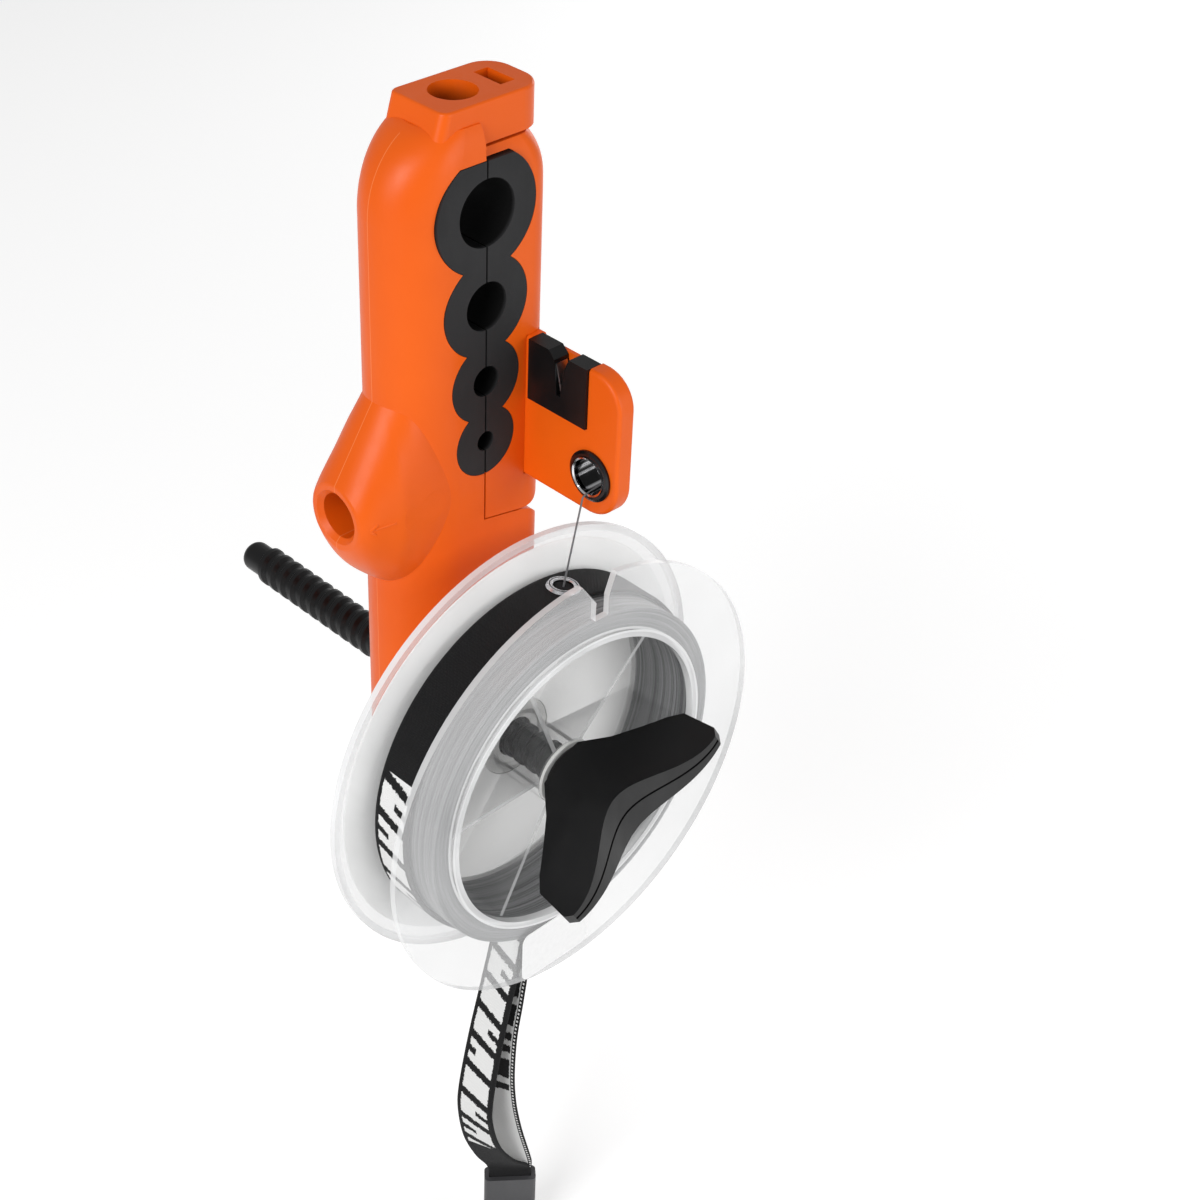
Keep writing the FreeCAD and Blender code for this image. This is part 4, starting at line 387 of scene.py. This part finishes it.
# ------------------------------------------------------------------ spool, paper and line
def clear(name, bead=0.0):
    """Injection moulded clear plastic: hazy flanges, clearer drum and webs, and painted highlights on
    the cut edges, the drum's rim and the webs' edges.
    """
    m = Nodes(name, IOR=1.5, Specular_IOR_Level=0.5)
    _, y, _, radius = m.axes()
    tint = (0.86, 0.865, 0.87, 1)
    m.to("Base Color", m.mix(m.ramp(m.noise(60.0, 2.0), 0.35, 0.7), tint, dimmed(tint, 0.9)))
    m.to("Roughness", m.ramp(m.noise(420.0, 4.0, 0.65), 0.45, 0.8, 0.08, 0.16))
    m.to("Normal", m.bump(m.noise(160.0, 2.0), 0.05, 0.0002))
    normal = m.node("ShaderNodeTexCoord").outputs["Normal"]
    along = m.math("ABSOLUTE", m.node("ShaderNodeSeparateXYZ", {"Vector": normal}).outputs[1])
    flange = m.over(radius, FLANGE_FROM)
    # painted highlights: the cut edges, the drum's rim and the webs' edges hide more of what lies
    # behind, so they show pale
    cut = m.times(flange, m.under(along, 0.6))
    rim = m.times(m.between(radius, *DRUM_RIM), m.under(y, DRUM_RIM_FRONT))
    web_edge_highlight = m.times(m.under(radius, WEB_REACH), m.over(along, 0.8))
    web_edge_highlight = m.times(web_edge_highlight, m.under(y, WEB_FRONT))
    # how much of what lies behind the plastic hides, from a little haze up
    drum_haze, flange_haze = 0.04, 0.25
    hides = m.math("MULTIPLY_ADD", flange, flange_haze - drum_haze, drum_haze)
    more = ((cut, 0.30), (rim, 0.65), (web_edge_highlight, 0.30), (m.over(radius, FLANGE_BEAD), bead),
            (m.noise(45.0, 2.0), 0.03))
    for mask, share in more:
        hides = m.math("MULTIPLY_ADD", mask, share, hides)
    m.to("Alpha", m.times(hides, m.in_shadow(-0.85)))
    return m


def paper(name, colour, fibre, painted_glow):
    """Uncoated paper with fine fibres, and a painted glow of the given strength that brightens it
    where little light reaches.
    """
    m = Nodes(name, Emission_Color=WHITE, Emission_Strength=painted_glow)
    m.to("Base Color", m.mix(m.ramp(m.noise(900.0, 5.0), 0.3, 0.75), colour, fibre))
    m.to("Roughness", m.ramp(m.noise(1500.0, 3.0), 0.3, 0.7, 0.6, 0.75))
    m.to("Normal", m.bump(m.noise(2200.0, 4.0), 0.3, 0.00003))
    return m


def wound_line():
    """Clear monofilament wound in layers: the turns run round the axis, and their tone varies."""
    m = Nodes("wound_monofilament", IOR=1.5, Specular_IOR_Level=0.4)
    x, y, z, radius = m.axes()
    angle = m.math("ARCTAN2", x, z)
    # turns drift a little across the winding as they go round
    drift = m.times(m.math("SINE", m.times(angle, 2.0)), 0.2)
    at = m.node("ShaderNodeCombineXYZ", {0: radius, 1: m.math("ADD", y, drift),
                                         2: m.math("SINE", angle)}).outputs[0]
    rings = m.noise(1.0, 3.0, 0.72, at=at, stretch=(1.7, 1.7, 0.15))
    layers = m.noise(1.0, 2.0, at=at, stretch=(0.6, 0.6, 1.6))
    tone = m.mix(m.ramp(rings, 0.40, 0.60), linear(136, 137, 138), linear(64, 65, 67))
    m.to("Base Color", m.mix(m.ramp(layers, 0.45, 0.68, 0.0, 0.5), tone, linear(112, 113, 114)))
    m.to("Roughness", m.ramp(rings, 0.3, 0.7, 0.30, 0.46))
    m.to("Normal", m.bump(rings, 0.7, 0.0002))
    # nylon line passes part of the light on into the drum
    m.to("Alpha", m.in_shadow(-0.35))
    return m


def single_line():
    """One run of the same line, with faint changes of tone along it."""
    m = Nodes("line_single", IOR=1.5)
    m.to("Base Color", m.mix(m.noise(500.0), linear(84, 84, 86), linear(118, 118, 120)))
    m.to("Roughness", m.ramp(m.noise(900.0), 0.3, 0.7, 0.25, 0.35))
    m.to("Normal", m.bump(m.noise(3000.0), 0.1, 0.00001))
    return m


clear_front = clear("clear_styrene")
clear_rear = clear("clear_styrene_rear", 0.30)
# the label gets a painted glow, so that it stays white in the drum's shade
white_paper = paper("label_paper", linear(247, 247, 246), linear(240, 240, 239), 0.10)
sticker_paper = paper("sticker_paper", linear(248, 248, 248), linear(241, 241, 241), 0.0)
line_wound = wound_line()
line_thin = single_line()


# ------------------------------------------------------------------ materials of the CAD pieces
CAD_MATERIALS = {
    "front_shell": orange, "rear_shell": orange, "jaw_front_shell": orange,
    "jaw_rear_shell": orange, "guide_arm": orange, "left_rubber_pad": rubber,
    "right_rubber_pad": rubber, "shell_screws": steel, "jaw_screws": steel,
    "spindle_nut": black, "side_spindle_nut": black, "hinge_pin": steel, "jaw_spring": steel,
    "pressure_plate": black, "friction_washer": washer_white,
    "thrust_washer": washer_white, "threaded_spindle": black, "knob_upper_half": knob_black,
    "knob_lower_half": knob_black, "cutter_block": black, "cutter_blade": steel,
    "guide_ring": ring_black, "ring_liner": bright, "band_eyelet": nickel,
    "strap_clip": clip_grey, "spool_drum": clear_front, "spool_rear_flange": clear_rear,
    "line_winding": line_wound, "flange_sticker": sticker_paper,
}
for name, made in CAD_MATERIALS.items():
    mesh = nodes[name].data
    if not mesh.materials:
        mesh.materials.append(made.material)
    for index in range(len(mesh.materials)):
        mesh.materials[index] = made.material


# ------------------------------------------------------------------ new pieces
def mesh_piece(name, vertices, faces, body, materials, kinds=None):
    """A new piece from vertices in millimetres; kinds gives each face's material, else the first."""
    mesh = bpy.data.meshes.new(name)
    mesh.from_pydata([tuple(c * MM for c in v) for v in vertices], [], faces)
    mesh.update()
    for m in materials:
        mesh.materials.append(m.material)
    piece = bpy.data.objects.new(name, mesh)
    scene.collection.objects.link(piece)
    for index, polygon in enumerate(mesh.polygons):
        polygon.use_smooth = True
        if kinds:
            polygon.material_index = kinds[index]
    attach(piece, body)
    return piece


def tube_faces(sections, sides, closed=False):
    """The walls between sections of so many points each, in order; closed joins last to first."""
    faces = []
    for i in range(sections if closed else sections - 1):
        here, there = i * sides, (i + 1) % sections * sides
        for k in range(sides):
            after = (k + 1) % sides
            faces.append((here + k, here + after, there + after, there + k))
    return faces


def end_faces(sections, sides):
    """The faces that shut a tube's first and last section."""
    last = (sections - 1) * sides
    return [tuple(range(sides)), tuple(reversed(range(last, last + sides)))]


# ------------------------------------------------------------------ paper label
def paper_ring(name, radii, ends, body, materials):
    """A thin ring of paper about the spool's axis, its outer rim eased back."""
    (inner, outer), (front, back) = radii, ends
    edge, eased, steps, turns = 0.3, 0.02, 14, 160
    profile = [(inner, back), (inner, front), (inner + edge, front)]
    profile += [(inner + (outer - inner) * k / steps, front) for k in range(1, steps)]
    profile += [(outer - edge, front), (outer, front + eased), (outer, back)]
    vertices = []
    for i in range(turns):
        a = 2 * math.pi * i / turns
        for r, y in profile:
            vertices.append((r * math.cos(a), y, SPOOL_Z + r * math.sin(a)))
    faces = tube_faces(turns, len(profile), closed=True)
    return mesh_piece(name, vertices, faces, body, materials)


label = paper_ring("label_paper_ring", LABEL_RADII, LABEL_Y, "spool", [white_paper])
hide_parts("spool_label")


# ------------------------------------------------------------------ spring of round wire
def round_spring(name, wire, mean, ends, turns, body, materials):
    """Coil spring about the spool's axis, of round wire with flat ends."""
    (y0, y1), steps, sides = ends, int(turns * 44), 14
    vertices = []
    for i in range(steps + 1):
        a = 2 * math.pi * turns * i / steps
        centre = Vector((mean * math.cos(a), y0 + (y1 - y0) * i / steps, mean * math.sin(a)))
        out = Vector((math.cos(a), 0, math.sin(a)))
        ahead = Vector((-mean * math.sin(a), (y1 - y0) / (2 * math.pi * turns),
                        mean * math.cos(a))).normalized()
        side = ahead.cross(out)
        for k in range(sides):
            b = 2 * math.pi * k / sides
            p = centre + (out * math.cos(b) + side * math.sin(b)) * wire
            vertices.append((p.x, p.y, SPOOL_Z + p.z))
    # this section runs the other way round, so its walls are turned over, each from the same corner
    faces = [(a, d, c, b) for a, b, c, d in tube_faces(steps + 1, sides)]
    faces += end_faces(steps + 1, sides)
    return mesh_piece(name, vertices, faces, body, materials)


spring = round_spring("tension_spring_wire", SPRING_WIRE, SPRING_MEAN, SPRING_Y, SPRING_TURNS,
                      "winder_body", [steel])
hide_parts("tension_spring")


# ------------------------------------------------------------------ raised arrow on the body
def raised_strokes(name, strokes, width, height, carrier, body, materials):
    """Fine raised strokes, given as (x, z) runs, lying on the front of the piece that carries them."""
    mesh = carrier.data
    surface = BVHTree.FromPolygons([v.co for v in mesh.vertices],
                                   [tuple(p.vertices) for p in mesh.polygons])
    ray_from, step, sunk, low_end = -40.0, 0.35, -0.05, 0.02

    def front(x, z):
        hit = surface.ray_cast(Vector((x, ray_from, z)) * MM, Vector((0, 1, 0)))[0]
        return hit.y / MM

    vertices, faces = [], []
    for (x0, z0), (x1, z1) in strokes:
        run = Vector((x1 - x0, z1 - z0))
        side = Vector((-run.y, run.x)).normalized()
        steps, first = max(2, int(run.length / step)), len(vertices)
        for i in range(steps + 1):
            rise = low_end if i in (0, steps) else height
            for share, lift in ((-0.5, sunk), (-0.22, rise), (0.22, rise), (0.5, sunk)):
                x, z = Vector((x0, z0)) + run * (i / steps) + side * (width * share)
                vertices.append((x, front(x, z) - lift, z))
        for i in range(steps):
            for k in range(3):
                a = first + i * 4 + k
                faces.append((a, a + 1, a + 5, a + 4))
    return mesh_piece(name, vertices, faces, body, materials)


raised_strokes("raised_arrow", [(ARROW_TAIL, ARROW_NECK)] + [(ARROW_TIP, at) for at in ARROW_BARBS],
               ARROW_WIDTH, ARROW_HEIGHT, nodes["front_shell"], "winder_body",
               [orange])


# ------------------------------------------------------------------ line from the eyelet to the ring
def nurbs_route(name, points):
    """A curve along a route given in millimetres, with no thickness yet."""
    curve = bpy.data.curves.new(name, "CURVE")
    curve.dimensions = "3D"
    curve.resolution_u = 12
    spline = curve.splines.new("NURBS")
    spline.points.add(len(points) - 1)
    for point, at in zip(spline.points, points):
        point.co = (*[c * MM for c in at], 1.0)
    spline.order_u = 3
    spline.use_endpoint_u = True
    return bpy.data.objects.new(name, curve)


line_route = nurbs_route("line_route", [
    LINE_START, RING_LIP + (LINE_START - RING_LIP).normalized() * LIP_RUN, RING_LIP, LINE_END])
line_path = [tuple(v.co) for v in bpy.data.meshes.new_from_object(line_route).vertices]
line_route.data.bevel_depth = LINE_RADIUS * MM
line_route.data.bevel_resolution = 3
line_route.data.use_fill_caps = True
line_run = bpy.data.objects.new("line_run", bpy.data.meshes.new_from_object(line_route))
line_run.data.materials.clear()
line_run.data.materials.append(line_thin.material)
line_run.data.shade_smooth()
bpy.data.objects.remove(line_route)
scene.collection.objects.link(line_run)
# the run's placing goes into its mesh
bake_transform(line_run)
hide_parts("line_lead")


# ------------------------------------------------------------------ elastic webbing
# Pitches, distances from the middle and stretches along the webbing, in millimetres.
WEAVE_ALONG, WEAVE_ACROSS = 0.46, 0.42
BLOCK_PITCH = 8.3
BLOCKS_HALF = 3.75
LEFT_BLOCKS = (22.0, 167.0)             # up the left ply and on round the spool
RIGHT_BLOCKS = (355.0, 401.0)           # down the right ply
PALE_HALF = 4.1                         # the inner side is pale, with a dark edge
STITCH_PITCH = 1.1                      # and a row of stitches along it
STITCH_ROW = (4.35, 4.8)


def webbing(name, inverse):
    """Black webbing with woven white blocks; its UV is across and along it, in millimetres."""
    m = Nodes(name, Sheen_Weight=0.04, Sheen_Roughness=0.5, Specular_IOR_Level=0.12)
    split = m.node("ShaderNodeSeparateXYZ", {"Vector": m.uv()})
    across, along = split.outputs[0], split.outputs[1]

    def wave(value, pitch):
        return m.math("SINE", m.times(value, 2 * math.pi / pitch))

    # weave: ribs along, picks across, half-shifted row by row
    weave = m.times(wave(along, WEAVE_ALONG), wave(across, WEAVE_ACROSS))
    # edges of the blocks follow the threads, so they are ragged
    shift = m.math("MULTIPLY_ADD", m.noise(1.5, 3.0, 0.75, at=m.uv()), 2.2, -1.1)
    edge = m.math("ABSOLUTE", across)
    inside = m.under(m.math("ADD", edge, m.times(shift, 0.5)), BLOCKS_HALF)
    # slanted blocks, some of them with a step cut into one side
    run = m.math("ADD", m.math("MULTIPLY_ADD", across, 0.32, along), shift)
    cell = m.math("DIVIDE", run, BLOCK_PITCH)
    number, part = m.math("FLOOR", cell), m.math("FRACT", cell)
    stepped = m.over(m.math("SINE", m.times(number, 2.1)), -0.25)
    side = m.over(m.times(across, m.math("SINE", m.times(number, 3.7))), 0.35)
    cut = m.times(m.times(m.between(part, 0.27, 0.47), stepped), side)
    block = m.times(m.under(part, 0.74), m.math("SUBTRACT", 1.0, cut))
    zone = m.math("MAXIMUM", m.between(along, *LEFT_BLOCKS), m.between(along, *RIGHT_BLOCKS))
    white = m.times(m.times(block, zone), inside)
    if inverse:
        white = m.times(m.math("SUBTRACT", 1.0, white), m.under(edge, PALE_HALF))
        stitch = m.times(m.over(wave(along, STITCH_PITCH), 0.1), m.between(edge, *STITCH_ROW))
        white = m.math("MAXIMUM", white, stitch)
    grain = m.ramp(m.noise(3.2, 2.0, 0.75, at=m.uv()), 0.35, 0.7)
    dark = m.mix(grain, linear(12, 12, 13), linear(30, 30, 31))
    dark = m.mix(m.ramp(weave, -0.2, 1.0, 0.0, 0.4), dark, linear(40, 40, 41))
    thread = m.ramp(weave, -1.0, 1.0, 0.55, 1.0)
    pale = m.mix(thread, linear(188, 188, 188), linear(240, 240, 239))
    m.to("Base Color", m.mix(white, dark, pale))
    m.to("Roughness", m.ramp(m.noise(5.0, at=m.uv()), 0.3, 0.7, 0.72, 0.92))
    height = m.math("ADD", m.times(weave, 0.5), m.times(white, 0.6))
    m.to("Normal", m.bump(height, 0.7, 0.00012))
    return m


web_outer = webbing("webbing_face", False)
web_inner = webbing("webbing_back", True)


def catmull(points, steps):
    """Smooth line through points."""
    out = []
    pts = [2 * points[0] - points[1], *points, 2 * points[-1] - points[-2]]
    for i in range(1, len(pts) - 2):
        a, b, c, e = pts[i - 1:i + 3]
        for k in range(steps):
            t = k / steps
            out.append(0.5 * ((2 * b) + (c - a) * t + (2 * a - 5 * b + 4 * c - e) * t * t
                              + (3 * b - 3 * c + e - a) * t ** 3))
    out.append(points[-1])
    return out


def turn_at(z):
    """Twist of the tail about Z: none where it leaves the loop, most at the clip."""
    t = min(1.0, max(0.0, (TWIST_FROM - z) / (TWIST_FROM - TWIST_TO)))
    return CLIP_TURN * (0.35 * t + 0.65 * t ** 5)


def tail_line(points, side):
    """One ply, from the loop down into the clip, where the plies lie against each other."""
    apart = Vector((math.cos(CLIP_TURN), math.sin(CLIP_TURN), 0)) * (side * CLIP_PLY_FROM_MIDDLE)
    line = [Vector((x, BAND_Y, z)) for x, z in points]
    line += [Vector((TAIL_X, BAND_Y, z)) + apart for z in CLIP_ENDS]
    return [(p, turn_at(p.z)) for p in catmull(line, steps=9)]


def arc(centre, radius, a0, a1, steps):
    """Untwisted points round a centre, from one angle about Y to another."""
    angles = [a0 + (a1 - a0) * k / steps for k in range(steps + 1)]
    return [(centre + Vector((math.cos(a), 0, math.sin(a))) * radius, 0.0) for a in angles]


def fold(side):
    """Centre of the fold between the loop and a ply, and its angle about the spool's axis."""
    x = TAIL_X + side * PLY_FROM_MIDDLE + side * FOLD_RADIUS
    down = math.sqrt((BAND_RADIUS + FOLD_RADIUS) ** 2 - x * x)
    centre = Vector((x, BAND_Y, SPOOL_Z - down))
    toward = (centre - BAND_CENTRE).normalized()
    return centre, math.atan2(toward.z, toward.x)


def band_route():
    """Up the left ply, round the wound line and down the right ply: points with their turns."""
    left_fold, left_angle = fold(-1)
    right_fold, right_angle = fold(1)
    route = list(reversed(tail_line(LEFT_PLY, -1)))[:-1]
    route += arc(left_fold, FOLD_RADIUS, 0.0, left_angle + math.pi, steps=6)
    route += arc(BAND_CENTRE, BAND_RADIUS, left_angle, right_angle - 2 * math.pi, steps=150)[1:]
    route += arc(right_fold, FOLD_RADIUS, right_angle + math.pi, math.pi, steps=6)[1:]
    return route + tail_line(RIGHT_PLY, 1)[1:]


def ribbon(name, route, width, thick, body, materials):
    """Webbing along a route of (point, turn about Z), with soft edges and a UV in millimetres."""
    half, h, edge, shoulder = width / 2, thick / 2, 0.18, 0.7
    across = [-half, -half + edge, -half + shoulder, -half * 0.5, 0.0, half * 0.5,
              half - shoulder, half - edge, half]
    lift = [0.30, 0.8, 1.0, 1.0, 1.0, 1.0, 1.0, 0.8, 0.30]
    profile = [(a, l * h) for a, l in zip(across, lift)]
    profile += [(a, -l * h) for a, l in reversed(list(zip(across, lift)))]
    vertices, uvs, along = [], [], 0.0
    last = len(route) - 1
    for i, (p, turn) in enumerate(route):
        if i:
            along += (p - route[i - 1][0]).length
        ahead = (route[min(i + 1, last)][0] - route[max(i - 1, 0)][0]).normalized()
        wide = Vector((math.sin(turn), -math.cos(turn), 0))
        out = ahead.cross(wide).normalized()
        for a, l in profile:
            vertices.append(p + wide * a + out * l)
            uvs.append((a, along))
    sides = len(profile)
    back = [1 if k < sides // 2 else 0 for k in range(sides)]
    faces = tube_faces(len(route), sides) + end_faces(len(route), sides)
    kinds = back * last + [1, 1]
    piece = mesh_piece(name, vertices, faces, body, materials, kinds)
    layer = piece.data.uv_layers.new(name="UVMap")
    for loop in piece.data.loops:
        layer.data[loop.index].uv = uvs[loop.vertex_index]
    return piece


band_piece = ribbon("elastic_webbing", band_route(), BAND_WIDE, BAND_THICK, "winder_body",
                    [web_outer, web_inner])
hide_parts("elastic_band")


# ------------------------------------------------------------------ studio, in metres
def studio_floor():
    """Pale matt floor under the clip; seen, it glows a little, so that it comes out white."""
    z, reach = cad_low[2] - 0.002, 3.0
    mesh = bpy.data.meshes.new("studio_floor")
    mesh.from_pydata([(-reach, -reach, z), (reach, -reach, z), (reach, reach, z),
                      (-reach, reach, z)], [], [(0, 1, 2, 3)])
    floor = bpy.data.objects.new("studio_floor", mesh)
    scene.collection.objects.link(floor)
    m = Nodes("studio_floor", Base_Color=(0.80, 0.80, 0.80, 1), Roughness=0.9,
              Specular_IOR_Level=0.1)
    path = m.node("ShaderNodeLightPath")
    seen = m.math("MAXIMUM", m.math("MAXIMUM", path.outputs["Is Camera Ray"],
                                    path.outputs["Is Glossy Ray"]),
                  path.outputs["Is Transmission Ray"])
    glow = m.node("ShaderNodeEmission", {"Color": WHITE, "Strength": 0.38})
    add = m.node("ShaderNodeAddShader", {0: m.shader.outputs[0], 1: glow.outputs[0]})
    mix = m.node("ShaderNodeMixShader", {0: seen, 1: m.shader.outputs[0], 2: add.outputs[0]})
    m.link(mix.outputs[0], m.out.inputs["Surface"])
    mesh.materials.append(m.material)


def studio_world():
    """Soft light from all round; what the camera sees, also through the spool, is plain white."""
    world = bpy.data.worlds.new("studio_world")
    scene.world = world
    world.use_nodes = True
    w = Tree(world.node_tree)
    path = w.node("ShaderNodeLightPath")
    seen = w.math("MAXIMUM", path.outputs["Is Camera Ray"], path.outputs["Is Transmission Ray"])
    soft = w.node("ShaderNodeBackground", {"Color": WHITE, "Strength": 0.42})
    white = w.node("ShaderNodeBackground", {"Color": WHITE, "Strength": 1.0})
    mix = w.node("ShaderNodeMixShader", {0: seen, 1: soft.outputs[0], 2: white.outputs[0]})
    w.node("ShaderNodeOutputWorld", {0: mix.outputs[0]})


def softbox(name, at, aim, size, power):
    light = bpy.data.lights.new(name, "AREA")
    light.shape = "RECTANGLE"
    light.size = light.size_y = size
    light.energy = power
    lamp = bpy.data.objects.new(name, light)
    lamp.location = at
    lamp.rotation_euler = (Vector(aim) - Vector(at)).to_track_quat("-Z", "Y").to_euler()
    scene.collection.objects.link(lamp)


studio_floor()
studio_world()
middle = (0.0, 0.0, -0.05)
softbox("key_left_above", (-0.85, -0.22, 0.42), middle, 0.5, 6.4)
softbox("fill_front", (0.30, -1.0, 0.20), middle, 0.6, 4.4)
softbox("rim_right_back", (0.95, 0.30, 0.10), middle, 0.5, 2.2)
